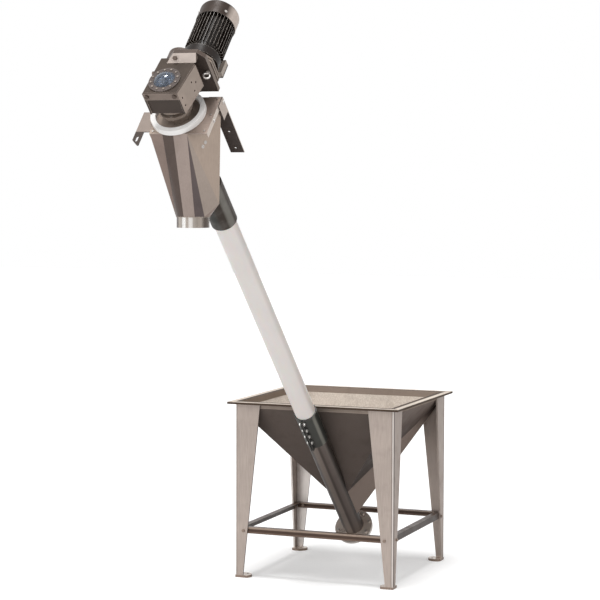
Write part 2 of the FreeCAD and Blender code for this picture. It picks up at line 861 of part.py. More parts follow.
def two_circle_block(small, big, y0, y1):
    """A block along the motor axis, round the two shafts, with straight sides between."""
    dx, dt = motor_x, motor_t - bevel_axis
    gap = math.hypot(dx, dt)
    ex, et = dx / gap, dt / gap
    lean = (big - small) / gap
    flat = math.sqrt(1 - lean * lean)
    points = []
    for radius, cx, ct, side in ((small, 0, bevel_axis, 1), (big, motor_x, motor_t, 1),
                                 (big, motor_x, motor_t, -1), (small, 0, bevel_axis, -1)):
        nx = -lean * ex - side * flat * et
        nt = -lean * et + side * flat * ex
        points.append(V(cx + radius * nx, y0, ct + radius * nt))
    web = prism(points, V(0, y1 - y0, 0))
    small_end = motor_axis(rod(small, y0, y1), 0, bevel_axis)
    big_end = motor_axis(rod(big, y0, y1), motor_x, motor_t)
    return web.fuse([small_end, big_end]).removeSplitter()


helical_wheel_front = gear_back + helical_wheel_gap
stage_front = gear_back
stage_end = stage_front + stage_depth
stage_middle = stage_front + stage_plate_depth
stage_top = gear_top + stage_rise


def stage_block(inset, y0, y1):
    """Wide front of the first-stage case, its upper corners cut at 45 degrees."""
    left, right = motor_x - stage_reach_left + inset, motor_x + stage_reach_right - inset
    low, high = motor_t - stage_reach_low + inset, stage_top - inset
    trim = (2 - math.sqrt(2)) * inset
    big, small = stage_big_corner - trim, stage_small_corner - trim
    points = [V(left, y0, low), V(right, y0, low), V(right, y0, high - small), V(right - small, y0, high),
              V(left + big, y0, high), V(left, y0, high - big)]
    return prism(points, V(0, y1 - y0, 0))


def stage_bolt():
    """Bolt on the sloping face above the gearbox, square to it."""
    one = bolt(gear_bolt_radius, 0, -gear_bolt_shank)
    one.rotate(V(0, 0, 0), V(1, 0, 0), stage_bolt_lean)
    x = motor_x - stage_reach_left + stage_big_corner + stage_bolt_inset
    one.translate(V(x, stage_front - stage_slope_edge - stage_rise / 2, gear_top + stage_rise / 2))
    return one


def helical_case():
    """Casting of the first gear stage, between gearbox and motor."""
    w = stage_wall
    edge = stage_front - stage_slope_edge
    profile = [(edge - stage_rise, gear_top), (edge, stage_top)]
    profile += [(stage_front, stage_top), (stage_front, gear_top)]
    slope = prism([V(-through, n, t) for n, t in profile], V(2 * through, 0, 0))
    slope = slope.common(stage_block(0, stage_front - stage_rise - 5, stage_front))
    beside = box(gear_half_width + gear_lean_right, through, gear_front, stage_front, gear_top, stage_top + 1)
    slope = slope.cut(beside)
    wide = stage_block(0, stage_front, stage_middle).cut(stage_block(w, stage_front + w, stage_middle - w))
    narrow = two_circle_block(helical_small_radius, helical_big_radius, stage_middle, stage_end)
    body = wide.fuse([slope, narrow])
    body = body.cut(two_circle_block(helical_small_radius - w, helical_big_radius - w,
                                     stage_middle - w - 1, stage_end - w))
    boss_end = stage_front + lay_bearing_width + stage_boss_lap
    body = body.fuse(motor_axis(rod(lay_bearing_radius + stage_boss, stage_front, boss_end), 0, bevel_axis))
    body = body.cut(motor_axis(rod(lay_bearing_radius, stage_front - 1, boss_end + 1), 0, bevel_axis))
    shaft_hole = rod(motor_shaft_radius + 6, stage_end - w - 1, stage_end + 1)
    body = body.cut(motor_axis(shaft_hole, motor_x, motor_t))
    eye_hole = motor_axis(rod(eye_stem, stage_front - 1, stage_front + w + 1), eye_x, eye_t)
    return on_line(body.cut(stage_bolt()).cut(eye_hole))


eye_x = motor_x + stage_reach_right - eye_from_edge
eye_t = gear_top - eye_below_top


def lifting_eye():
    """Cast ring on a collar, screwed into the first-stage case."""
    centre = stage_front - eye_collar_height - eye_radius - eye_rod
    loop = Part.makeTorus(eye_radius, eye_rod, V(eye_x, centre, eye_t), V(0.4, 0, 1))
    collar = motor_axis(rod(eye_collar, stage_front - eye_collar_height, stage_front), eye_x, eye_t)
    stem = motor_axis(rod(eye_stem, centre + eye_radius, stage_front + stage_wall), eye_x, eye_t)
    return on_line(loop.fuse([collar, stem]))


def adapter_square(y0, y1):
    """Square plate round the motor axis, corners cut at 45 degrees."""
    far, near = adapter_half, adapter_half - adapter_corner
    ends = [(near, far), (far, near), (far, -near), (near, -far)]
    ends += [(-x, -t) for x, t in ends]
    return prism([V(motor_x + x, y0, motor_t + t) for x, t in ends], V(0, y1 - y0, 0))


adapter_bolt_points = [(x, t) for x in (motor_x - adapter_bolt_half, motor_x + adapter_bolt_half)
                       for t in (motor_t - adapter_bolt_half, motor_t + adapter_bolt_half)]
adapter_inner = adapter_neck_radius - adapter_neck_wall
plate_end = stage_end + adapter_plate_thickness
neck_plate_start = plate_end + adapter_gap
neck_plate_end = neck_plate_start + adapter_plate_thickness
shield_start = neck_plate_end + adapter_neck_length
motor_start = shield_start + shield_length
motor_end = motor_start + motor_length


def with_adapter_holes(shape):
    holes = [motor_axis(rod(gear_bolt_radius, -through, through), x, t) for x, t in adapter_bolt_points]
    return shape.cut(Part.makeCompound(holes))


def adapter_plate():
    """Plate on the end of the case, with a short centring ring."""
    body = adapter_square(stage_end, plate_end)
    body = body.fuse(motor_axis(rod(adapter_neck_radius, plate_end, neck_plate_start), motor_x, motor_t))
    body = body.cut(motor_axis(rod(adapter_inner, stage_end - 1, neck_plate_start + 1), motor_x, motor_t))
    return on_line(with_adapter_holes(body))


def adapter_neck():
    """Second plate, with the neck that carries the motor."""
    body = adapter_square(neck_plate_start, neck_plate_end)
    body = body.fuse(motor_axis(rod(adapter_neck_radius, neck_plate_end, shield_start), motor_x, motor_t))
    body = body.cut(motor_axis(rod(adapter_inner, neck_plate_start - 1, shield_start + 1), motor_x, motor_t))
    return on_line(with_adapter_holes(body))


def gear_bolts():
    """The equal bolts of the gearbox, its vent plug, the sloping face and the motor adapter."""
    solids = [stage_bolt()]
    for x in (-front_bolt_x, front_bolt_x):
        one = bolt(gear_bolt_radius, 0, -gear_bolt_shank)
        one.rotate(V(0, 0, 0), V(1, 0, 0), 90)
        one.translate(V(x, gear_front, front_bolt_t))
        solids.append(one)
    vent = bolt(gear_bolt_radius, 0, -gear_bolt_shank)
    vent.rotate(V(0, 0, 0), V(0, 1, 0), -90)
    vent.translate(V(vent_face, vent_n, vent_t))
    solids.append(vent)
    for x, t in adapter_bolt_points:
        solids.append(motor_axis(bolt(gear_bolt_radius, neck_plate_end, stage_end), x, t))
    return [on_line(one) for one in solids]


def motor_flange():
    """Front shield of the motor, with the seat of the front bearing."""
    body = rod(shield_radius, shield_start, motor_start)
    body = body.cut(rod(shield_radius - shield_wall, shield_start + shield_plate, motor_start + 1))
    body = body.cut(rod(motor_bearing_radius, shield_start - 1, shield_start + shield_plate + 1))
    return on_line(motor_axis(body, motor_x, motor_t))


terminal_low = motor_t - motor_core_radius - fin_height - terminal_below - terminal_height
terminal_high = terminal_low + terminal_height
terminal_start = motor_start + terminal_gap
terminal_end = terminal_start + terminal_length


def motor_body():
    """Finned motor frame, open inside for the windings, without fins where the terminal box sits."""
    body = ring(motor_core_radius, motor_core_radius - motor_core_wall, motor_start, motor_end)
    fins = []
    reach = motor_core_radius + fin_height
    for i in range(fin_count):
        fin = box(motor_core_radius - 3, reach, -fin_thickness / 2, fin_thickness / 2,
                  motor_start + fin_start_gap, motor_end - 4)
        fin.rotate(V(0, 0, 0), V(0, 0, 1), 360.0 * i / fin_count)
        fins.append(fin)
    body = motor_axis(body.fuse(fins), motor_x, motor_t)
    half = terminal_neck_half + 2
    seat = box(motor_x - half, motor_x + half, motor_start - 1, terminal_end + 2, terminal_low, motor_t)
    core = motor_axis(rod(motor_core_radius, motor_start - 2, motor_end), motor_x, motor_t)
    return on_line(body.cut(seat.cut(core)))


def terminal_box():
    """Cable box on the underside of the motor, open towards its lid."""
    x0, x1 = motor_x - terminal_half, motor_x + terminal_half
    w = terminal_wall
    body = box(x0, x1, terminal_start, terminal_end, terminal_low, terminal_high)
    neck = box(motor_x - terminal_neck_half, motor_x + terminal_neck_half, terminal_start, terminal_end,
               terminal_high, motor_t - motor_core_radius / 2)
    core = motor_axis(rod(motor_core_radius, terminal_start - 1, terminal_end + 1), motor_x, motor_t)
    body = body.fuse(neck).cut(core)
    inside = box(x0 + w, x1 - w, terminal_start + w, terminal_end - w, terminal_low - 1, terminal_high - w)
    body = body.cut(inside)
    hole = Part.makeCylinder(gland_radius - 2, w + 2, V(x0 - 1, gland_n, gland_t), V(1, 0, 0))
    return on_line(body.cut(hole))


gland_n = (terminal_start + terminal_end) / 2
gland_t = (terminal_low + terminal_high) / 2


def terminal_lid():
    body = box(motor_x - terminal_half, motor_x + terminal_half, terminal_start, terminal_end,
               terminal_low - terminal_lid_plate, terminal_low)
    low_edges = [e for e in body.Edges if e.BoundBox.ZMax < terminal_low - terminal_lid_plate + 0.1]
    return on_line(body.makeChamfer(terminal_lid_edge, low_edges))


def cable_gland():
    """Cable inlet of the terminal box, with a hexagon and a through bore."""
    nut = hexagon(2.2 * gland_radius, 0, gland_length / 2)
    body = nut.fuse(rod(gland_radius, gland_length / 2, gland_length))
    body = body.fuse(rod(gland_radius - 2, -gland_thread, 0))
    body = body.cut(rod(gland_bore, -gland_thread - 1, gland_length + 1))
    body.rotate(V(0, 0, 0), V(0, 1, 0), -90)
    body.translate(V(motor_x - terminal_half, gland_n, gland_t))
    return on_line(body)


def end_shield():
    """Rear bearing shield, with lugs that carry the fan cowl."""
    shield_back = motor_end + end_shield_plate
    body = rod(motor_core_radius + 6, motor_end, shield_back)
    boss = rod(motor_bearing_radius + 8, motor_end - 14, motor_end)
    lugs = []
    for i in range(cowl_lug_count):
        half = cowl_lug_width / 2
        lug = box(motor_core_radius, cowl_radius, -half, half, motor_end, shield_back)
        lug.rotate(V(0, 0, 0), V(0, 0, 1), 360.0 * (i + 0.5) / cowl_lug_count)
        lugs.append(lug)
    cowl_seat = rod(cowl_radius - cowl_wall - cowl_seat_gap, motor_end, shield_back)
    body = body.fuse([lug.common(cowl_seat) for lug in lugs])
    body = body.fuse(boss).cut(rod(motor_bearing_radius, motor_end - 15, motor_end + 2))
    body = body.cut(rod(motor_shaft_radius + 1, motor_end, motor_end + 20))
    return on_line(motor_axis(body, motor_x, motor_t))


cowl_start = motor_end - 22.0
cowl_end = cowl_start + cowl_length


def fan_cowl():
    """Sheet cowl with a rounded rear edge and slots for the air."""
    def rounded(body, end, radius):
        rear = [e for e in body.Edges if e.BoundBox.ZMin > end - 0.1 and e.BoundBox.ZLength < 0.1]
        return body.makeFillet(radius, rear)
    outer = rounded(rod(cowl_radius, cowl_start, cowl_end), cowl_end, cowl_edge)
    inner_end = cowl_end - cowl_wall
    inner = rounded(rod(cowl_radius - cowl_wall, cowl_start - 1, inner_end), inner_end, cowl_edge - cowl_wall)
    body = outer.cut(inner)
    slots = []
    for radius in (24, 38, 52, 66):
        arc = ring(radius + 4, radius - 3, cowl_end - 6, cowl_end + 2)
        bars = Part.makeCompound([box(-100, 100, -4, 4, cowl_end - 8, cowl_end + 4),
                                  box(-4, 4, -100, 100, cowl_end - 8, cowl_end + 4)])
        slots.append(arc.cut(bars))
    return on_line(motor_axis(body.cut(Part.makeCompound(slots)), motor_x, motor_t))


# Windings, rotor and fan
stator_radius = motor_core_radius - motor_core_wall
stack_start = motor_start + stack_gap
stack_end = stack_start + stack_length


def stator():
    body = ring(stator_radius, rotor_radius + air_gap, stack_start, stack_end)
    return on_line(motor_axis(body, motor_x, motor_t))


helical_centre = math.hypot(motor_x, motor_t - bevel_axis)
motor_pinion_radius = helical_centre / (1 + helical_ratio)
helical_wheel_radius = helical_centre - motor_pinion_radius
helical_back = helical_wheel_front + helical_face


def rotor():
    """Rotor and motor shaft with the first pinion on its front end."""
    core = rod(rotor_radius, stack_start, stack_end)
    shaft = rod(motor_shaft_radius, helical_wheel_front, cowl_end - 34)
    pinion = rod(motor_pinion_radius - tooth_gap / 2, helical_wheel_front, helical_back)
    return on_line(motor_axis(core.fuse([shaft, pinion]), motor_x, motor_t))


def motor_bearings():
    bore = motor_shaft_radius + running_gap
    front = ring(motor_bearing_radius, bore, shield_start, shield_start + shield_plate)
    rear = ring(motor_bearing_radius, bore, motor_end - motor_bearing_width, motor_end)
    return [on_line(motor_axis(b, motor_x, motor_t)) for b in (front, rear)]


def fan():
    low, high = motor_end + 16, cowl_end - 38
    hub = ring(fan_hub_radius, motor_shaft_radius, low, high)
    disc = ring(cowl_radius - 14, fan_hub_radius - 4, low, low + fan_disc)
    blades = []
    for i in range(fan_blade_count):
        blade = box(fan_hub_radius - 2, cowl_radius - 16, -fan_disc / 2, fan_disc / 2, low + 2, high)
        blade.rotate(V(0, 0, 0), V(0, 0, 1), 360.0 * i / fan_blade_count)
        blades.append(blade)
    return on_line(motor_axis(hub.fuse([disc] + blades), motor_x, motor_t))


def layshaft():
    """Bevel pinion and its shaft, with the first-stage wheel on the far end."""
    pitch_angle = math.atan(1.0 / bevel_ratio)
    pinion_large = bevel_wheel_radius / bevel_ratio
    near = bevel_wheel_radius
    length = bevel_face * math.cos(pitch_angle)
    small = pinion_large * (near - length) / near
    shrink = tooth_gap / math.cos(pitch_angle)
    pinion = Part.makeCone(small - shrink, pinion_large - shrink, length, V(0, 0, near - length))
    neck = rod(layshaft_radius + 4, near, lay_bearing_front)
    shaft = rod(layshaft_radius, near, helical_back + 4)
    wheel = rod(helical_wheel_radius - tooth_gap / 2, helical_wheel_front, helical_back)
    hollow = ring(helical_wheel_radius - 10, layshaft_radius + 8, helical_wheel_front - 1, helical_back + 1)
    web = (helical_wheel_front + helical_back) / 2
    wheel = wheel.cut(hollow.cut(rod(helical_wheel_radius, web - helical_web / 2, web + helical_web / 2)))
    return on_line(motor_axis(pinion.fuse([neck, shaft, wheel]), 0, bevel_axis))


def layshaft_bearings():
    bore = layshaft_radius + running_gap
    starts = (lay_bearing_front + 1, gear_back + 1)
    pair = [ring(lay_bearing_radius, bore, n, n + lay_bearing_width) for n in starts]
    return [on_line(motor_axis(b, 0, bevel_axis)) for b in pair]


def output_shaft():
    return on_line(ring(hollow_shaft_radius, drive_shaft_radius, gear_bottom - 6, output_shaft_end))


output_shaft_end = gear_top - 1.0


def bevel_wheel():
    """Bevel wheel on the hollow shaft, its toothed cone facing the pinion."""
    pitch_angle = math.atan(bevel_ratio)
    cone_low = bevel_axis + bevel_wheel_radius / bevel_ratio
    inner = bevel_wheel_radius - bevel_face * math.sin(pitch_angle)
    inner_low = bevel_axis + inner / bevel_ratio
    points = [V(hollow_shaft_radius, 0, inner_low + 1.0), V(inner, 0, inner_low + 0.6),
              V(bevel_wheel_radius, 0, cone_low + 0.6), V(bevel_wheel_radius + 1, 0, cone_low + 10),
              V(hollow_shaft_radius, 0, cone_low + 14)]
    face = Part.Face(Part.makePolygon(points + points[:1]))
    return on_line(face.revolve(V(0, 0, 0), V(0, 0, 1), 360))


def output_bearings():
    solids = []
    for low in (output_bearing_low, output_bearing_high):
        solids.append(on_line(ring(output_bearing_radius, hollow_shaft_radius + running_gap,
                                   low, low + output_bearing_width)))
    return solids


coupler_start = screw_end - coupler_lap


def drive_shaft():
    """The shaft, and the disc with its bolt that holds it in the hollow output shaft."""
    start = coupler_start + coupler_length - coupler_grip
    shaft = ring(drive_shaft_radius, drive_shaft_bore, start, output_shaft_end - 3)
    disc = rod(hollow_shaft_radius - 1.5, output_shaft_end, output_shaft_end + 5)
    end_bolt = bolt(drive_shaft_bore - 0.1, output_shaft_end + 5, output_shaft_end - 30)
    return [on_line(shaft), on_line(disc.fuse(end_bolt))]


def screw_coupler():
    inner = screw_radius - screw_strip_radial - 0.2
    body = rod(inner, coupler_start, coupler_start + coupler_length)
    nose = Part.makeCone(drive_shaft_radius, inner, coupler_nose, V(0, 0, coupler_start - coupler_nose))
    end = coupler_start + coupler_length
    hub_hole = rod(drive_shaft_radius, end - coupler_grip, end + 1)
    hollow = rod(coupler_bore, coupler_start + 6, end - coupler_grip - 6)
    return on_line(body.fuse(nose).cut(hub_hole).cut(hollow))


def flexible_screw():
    """One flat strip wound into an open spiral, with no centre shaft."""
    length = screw_end - screw_start
    inner = screw_radius - screw_strip_radial
    helix = Part.makeHelix(screw_pitch, length, inner)
    strip = Part.makePolygon([V(inner, 0, 0), V(screw_radius, 0, 0), V(screw_radius, 0, screw_strip_axial),
                              V(inner, 0, screw_strip_axial), V(inner, 0, 0)])
    spiral = Part.Wire(helix).makePipeShell([strip], True, True)
    spiral.translate(V(0, 0, screw_start))
    return on_line(spiral)


def bracket_right():
    """Long hanging bracket behind the head, with a web beside the lid's flange."""
    outer = flange_right + bracket_plate
    low = lid_bottom - bracket_length
    face = box(lid_right - bracket_inner, outer, lid_back, lid_back + bracket_plate, low, lid_bottom)
    web = box(flange_right, outer, lid_back - bracket_grip, lid_back + bracket_plate,
              lid_bottom - bracket_web_drop, lid_bottom)
    body = face.fuse(web)
    for i in range(bracket_hole_count):
        z = lid_bottom - bracket_first_hole - i * bracket_hole_pitch
        body = body.cut(motor_axis(rod(bracket_hole_radius, lid_back - 1, lid_back + bracket_plate + 1),
                                   outer - bracket_hole_inset, z))
    return on_line(body)


def bracket_left():
    """Flat wing beside the lid, with an arm that ends in a slotted hole."""
    outer = flange_left - wing_reach
    arm = outer + wing_arm_width
    tip = lid_front - wing_arm_reach
    low = lid_bottom - bracket_plate
    outline = [(flange_left, wing_back), (outer, wing_back), (outer, tip + wing_tip_cut),
               (outer + wing_tip_cut, tip), (arm, tip), (arm, wing_front), (flange_left, wing_front)]
    body = prism([V(x, n, low) for x, n in outline], V(0, 0, bracket_plate))
    middle = (outer + arm) / 2
    radius = wing_slot_width / 2
    half = wing_slot_length / 2 - radius
    ends = [tip + wing_slot_inset - half, tip + wing_slot_inset + half]
    slot = box(middle - radius, middle + radius, ends[0], ends[1], low - 1, lid_bottom + 1)
    slot = slot.fuse([rod(radius, low - 1, lid_bottom + 1, middle, n) for n in ends])
    return on_line(body.cut(slot))


os.makedirs(out_dir, exist_ok=True)

legs = [leg(sx, sy) for sx, sy in corners]
for name, solid in zip(corner_names, legs):
    save("leg_" + name, [solid])
save("hopper_shell", [hopper()])
save("foot_pads", [foot(sx, sy) for sx, sy in corners])
for name, turn in rail_turns.items():
    one = turned(rail(rail_halves[name], rail_size), turn)
    save(name, [one.cut(rail_bolt_holes)])
save("rail_bolts", rail_bolts)
save("inlet_tube", [inlet_tube()])
save("inlet_flange", [inlet_flange()])
save("inlet_gasket", [inlet_gasket()])
save("end_cover", [end_cover()])
save("cover_bolts", cover_bolts())
save("lower_clamp", [lower_clamp()])
save("clamp_bolts", clamp_bolts())
save("clamp_liner", [clamp_liner()])
save("conveyor_tube", [conveyor_tube()])
save("upper_sleeve", [upper_sleeve()])
save("discharge_housing", [discharge_housing()])
save("discharge_stub", [discharge_stub()])
save("discharge_spigot", [discharge_spigot()])
save("drive_plate", [drive_plate()])
save("plate_screws", plate_screws())
save("shaft_seal", [shaft_seal()])
save("collar_ring", [collar_ring()])
save("drive_flange", [drive_flange()])
save("drive_flange_bolts", drive_flange_bolts_solids())
save("gearbox_housing", [gearbox_housing()])
save("shaft_cover_ring", [cover_ring()])
save("shaft_cover_screws", cover_screws())
save("shaft_cover", [shaft_cover()])
save("helical_case", [helical_case()])
save("lifting_eye", [lifting_eye()])
save("adapter_plate", [adapter_plate()])
save("adapter_neck", [adapter_neck()])
save("gear_bolts", gear_bolts())
save("motor_flange", [motor_flange()])
save("motor_body", [motor_body()])
save("terminal_box", [terminal_box()])
save("terminal_lid", [terminal_lid()])
save("cable_gland", [cable_gland()])
save("motor_end_shield", [end_shield()])
save("fan_cowl", [fan_cowl()])
save("stator", [stator()])
save("rotor", [rotor()])
save("motor_bearings", motor_bearings())
save("fan", [fan()])
save("layshaft", [layshaft()])
save("layshaft_bearings", layshaft_bearings())
save("output_shaft", [output_shaft()])
save("bevel_wheel", [bevel_wheel()])
save("output_bearings", output_bearings())
save("drive_shaft", drive_shaft())
save("screw_coupler", [screw_coupler()])
save("flexible_screw", [flexible_screw()])
save("bracket_left", [bracket_left()])
save("bracket_right", [bracket_right()])
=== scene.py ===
"""Flexible screw conveyor: finishes, small pieces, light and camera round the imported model.

Metres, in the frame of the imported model: +Z up, the conveyor rises towards -Y.
"""

import json
import math

import bmesh
import bpy
from mathutils import Matrix, Vector


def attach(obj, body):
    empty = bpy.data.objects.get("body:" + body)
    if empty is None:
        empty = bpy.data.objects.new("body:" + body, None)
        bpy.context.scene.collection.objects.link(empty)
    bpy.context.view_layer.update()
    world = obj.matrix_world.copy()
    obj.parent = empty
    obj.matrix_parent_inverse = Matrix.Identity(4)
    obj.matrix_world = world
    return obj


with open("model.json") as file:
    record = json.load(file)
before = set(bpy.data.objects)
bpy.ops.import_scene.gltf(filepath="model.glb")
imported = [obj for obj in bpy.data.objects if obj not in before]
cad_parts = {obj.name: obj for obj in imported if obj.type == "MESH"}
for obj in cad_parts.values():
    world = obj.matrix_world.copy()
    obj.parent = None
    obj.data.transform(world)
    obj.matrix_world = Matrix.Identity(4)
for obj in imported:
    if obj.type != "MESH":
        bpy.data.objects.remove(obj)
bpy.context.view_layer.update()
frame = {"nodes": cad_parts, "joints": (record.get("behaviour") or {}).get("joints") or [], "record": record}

nodes = frame["nodes"]
record = frame["record"]
slot_of = {part["node"]: part["material_slot"] for part in record["subparts"]}

# Camera, fitted to the photograph, its angles in degrees. The unit of the fit is the width across the legs.
camera_unit = 0.950
camera_azimuth, camera_elevation, camera_roll = 21.4266, 3.7479, 0.1604
camera_distance = 12.1431 * camera_unit
camera_focal_px = 2000.0
camera_side = -0.2615 * camera_unit
camera_height = 1.6439 * camera_unit
image_px = 600.0
sensor_mm = 36.0

# Light
sky_strength = 0.33
floor_glow = 0.30
floor_half = 30.0

# Noise in spots per metre; depths of relief, widths of pale edges (wear and painted highlights) and half
# widths of sharp borders in metres
noise_roughness = 0.55
cloud_spots, grain_spots, smudge_spots = 2.6, 420.0, 11.0
cast_spots, cast_cloud_spots = 160.0, 14.0
grain_depth, cast_depth, plastic_depth = 0.0004, 0.0006, 0.0003
sheet_edge, cast_edge = 0.0015, 0.0022
border, crease_border = 0.0005, 0.0006
black = (0, 0, 0)

# The stand, in metres: the rim's top and the half widths of its opening and edge, the painted shade line
# beside a leg's bend, and the borders of the painted highlights along a rail's upper and lower edge
rim_top, rim_opening, rim_edge = 1.004, 0.475, 0.5065
leg_line = 0.45
rail_upper_line, rail_lower_line = 0.280, 0.2635

# The conveyor line in the plane X = 0, read from the screw's joint
x_axis, y_axis, z_axis = Vector((1, 0, 0)), Vector((0, 1, 0)), Vector((0, 0, 1))
screw_joint = next(j for j in frame["joints"] if j["name"] == "screw_spin")
line_zero = Vector(screw_joint["pos_m"])
line_up = Vector(screw_joint["axis"]).normalized()
line_square = x_axis.cross(line_up).normalized() * -1.0

# The head, in metres: its middle and the lid's half width in X, the creases from the lid's left end, the
# outlet ring's radius and drop, the left wing's front edge, the band of painted light on the gearbox's front,
# and the way that the facet with the two lower side bolts looks
head_x, lid_half = 0.030, 0.145
crease_from_end = (0.064, 0.119, 0.191)
ring_radius, ring_drop = 0.081, 0.476
wing_front = 0.105
gear_band = 0.045
side_facet = Vector((0.8837, -0.4645, -0.0582))

# Places on the line in millimetres: the lid, the motor's axis, and where the small pieces sit
lid_along, lid_front_along, lid_front_square = 3420, 3411, -120
motor_x, motor_along, cowl_screw_square = 40, 3488, 567
terminal_lid_along, terminal_screw_x, terminal_screw_squares = 3350.2, 56, (331, 400)
side_bolt_places = ((183, 112, 3396), (178, -18, 3402))
facet_bolt_places = ((125.1, -78.1, 3318.2), (117.6, -100.5, 3313.0))
clamp_first, clamp_last, clamp_bolt_count = 956, 1122, 4
clamp_washer_x, clamp_washer_square = 8.6, -75.65
flange_weld_along = 40.8

# Small pieces, in metres: the cowl's radius, the spigot's seam from the lid's middle, the ends and the height
# of the rim's corner seams; a weld bead's ripples in one turn and the share of its thickness that they add
cowl_radius = 0.0988
spigot_seam = Vector((0, 0.088, -0.4775))
corner_seam_ends, corner_seam_height = (0.464, rim_edge), 1.0036
ripple_waves, ripple_share = 60, 0.12


class Nodes:
    """A short hand for building one material's node tree."""

    def __init__(self, name):
        self.material = bpy.data.materials.new(name)
        self.material.use_nodes = True
        self.tree = self.material.node_tree
        self.shader = self.tree.nodes["Principled BSDF"]
        self.coords = self.tree.nodes.new("ShaderNodeTexCoord").outputs["Object"]

    def add(self, kind, inputs=None, **settings):
        node = self.tree.nodes.new(kind)
        for key, value in settings.items():
            setattr(node, key, value)
        for key, value in (inputs or {}).items():
            if isinstance(value, bpy.types.NodeSocket):
                self.tree.links.new(value, node.inputs[key])
            else:
                node.inputs[key].default_value = value
        return node

    def noise(self, scale, detail, stretch=(1, 1, 1)):
        """Noise of about scale spots per metre, stretched along an axis by a small factor."""
        place = self.add("ShaderNodeMapping", {"Vector": self.coords, "Scale": stretch})
        texture = self.add("ShaderNodeTexNoise", {"Vector": place.outputs["Vector"], "Scale": scale,
                                                  "Detail": detail, "Roughness": noise_roughness})
        return texture.outputs["Fac"]

    def ramp(self, value, low, high, out_low=0.0, out_high=1.0):
        """Goes from out_low to out_high while the value goes from low to high, and stays there outside."""
        node = self.add("ShaderNodeMapRange", {"Value": value, "From Min": low, "From Max": high,
                                               "To Min": out_low, "To Max": out_high})
        return node.outputs["Result"]

    def mix(self, factor, first, second):
        """The first colour at factor 0, the second at 1."""
        node = self.add("ShaderNodeMix", data_type="RGBA", blend_type="MIX")
        for index, value in ((0, factor), (6, first), (7, second)):
            if isinstance(value, bpy.types.NodeSocket):
                self.tree.links.new(value, node.inputs[index])
            elif index == 0:
                node.inputs[index].default_value = value
            else:
                node.inputs[index].default_value = (*value[:3], 1.0)
        return node.outputs[2]

    def math(self, operation, first, second=0.0):
        node = self.add("ShaderNodeMath", {0: first, 1: second}, operation=operation)
        return node.outputs["Value"]

    def bump(self, height, strength, distance):
        inputs = {"Height": height, "Strength": strength, "Distance": distance}
        return self.add("ShaderNodeBump", inputs).outputs["Normal"]

    def facing(self, axis):
        """How far the surface faces along a direction of the part, from -1 to 1."""
        normal = self.add("ShaderNodeNewGeometry").outputs["Normal"]
        dot = self.add("ShaderNodeVectorMath", {0: normal, 1: axis}, operation="DOT_PRODUCT")
        return dot.outputs["Value"]

    def along(self, axis):
        """The point's place along a direction, in metres from the origin."""
        dot = self.add("ShaderNodeVectorMath", {0: self.coords, 1: axis}, operation="DOT_PRODUCT")
        return dot.outputs["Value"]

    def off_square(self):
        """The larger of the distances from the middle in X and in Y."""
        parts = self.add("ShaderNodeSeparateXYZ", {"Vector": self.coords}).outputs
        sides = [self.math("ABSOLUTE", parts[name]) for name in ("X", "Y")]
        return self.math("MAXIMUM", sides[0], sides[1])

    def bend(self):
        """0 on faces square to X or Y, up to a quarter where the surface turns from one to the other."""
        normal = self.add("ShaderNodeNewGeometry").outputs["Normal"]
        parts = self.add("ShaderNodeSeparateXYZ", {"Vector": normal}).outputs
        squares = [self.math("MULTIPLY", parts[name], parts[name]) for name in ("X", "Y")]
        return self.math("MULTIPLY", squares[0], squares[1])

    def edges(self, radius):
        """1 on edges, 0 on flats: where a rounded normal leaves the true one."""
        rounded = self.add("ShaderNodeBevel", {"Radius": radius}, samples=4).outputs["Normal"]
        normal = self.add("ShaderNodeNewGeometry").outputs["Normal"]
        dot = self.add("ShaderNodeVectorMath", {0: normal, 1: rounded}, operation="DOT_PRODUCT")
        return self.ramp(dot.outputs["Value"], 0.98, 0.75)

    def set(self, **values):
        for key, value in values.items():
            socket = self.shader.inputs[key.replace("_", " ")]
            if isinstance(value, bpy.types.NodeSocket):
                self.tree.links.new(value, socket)
            elif isinstance(value, tuple):
                socket.default_value = (*value[:3], 1.0)
            else:
                socket.default_value = value


def screen(red, green, blue):
    """Linear colour from the values that a screen shows, 0 to 255."""
    parts = [value / 255.0 for value in (red, green, blue)]
    return tuple(p / 12.92 if p <= 0.04045 else ((p + 0.055) / 1.055) ** 2.4 for p in parts)


def heading(azimuth, elevation=0.0):
    """Direction by its angle from -Y towards +X and its angle above level, in degrees."""
    a, e = math.radians(azimuth), math.radians(elevation)
    return Vector((math.sin(a) * math.cos(e), -math.cos(a) * math.cos(e), math.sin(e)))


def round_line(degrees):
    """Direction square to the conveyor line, turned from its underside towards +X."""
    a = math.radians(degrees)
    return x_axis * math.sin(a) - line_square * math.cos(a)


def on_line(x, square, along):
    """A point by its distances in millimetres from the conveyor line's start."""
    return line_zero + (x_axis * x + line_square * square + line_up * along) / 1000.0


def add_object(name, data):
    """Put an object with its data into the scene."""
    obj = bpy.data.objects.new(name, data)
    bpy.context.scene.collection.objects.link(obj)
    return obj


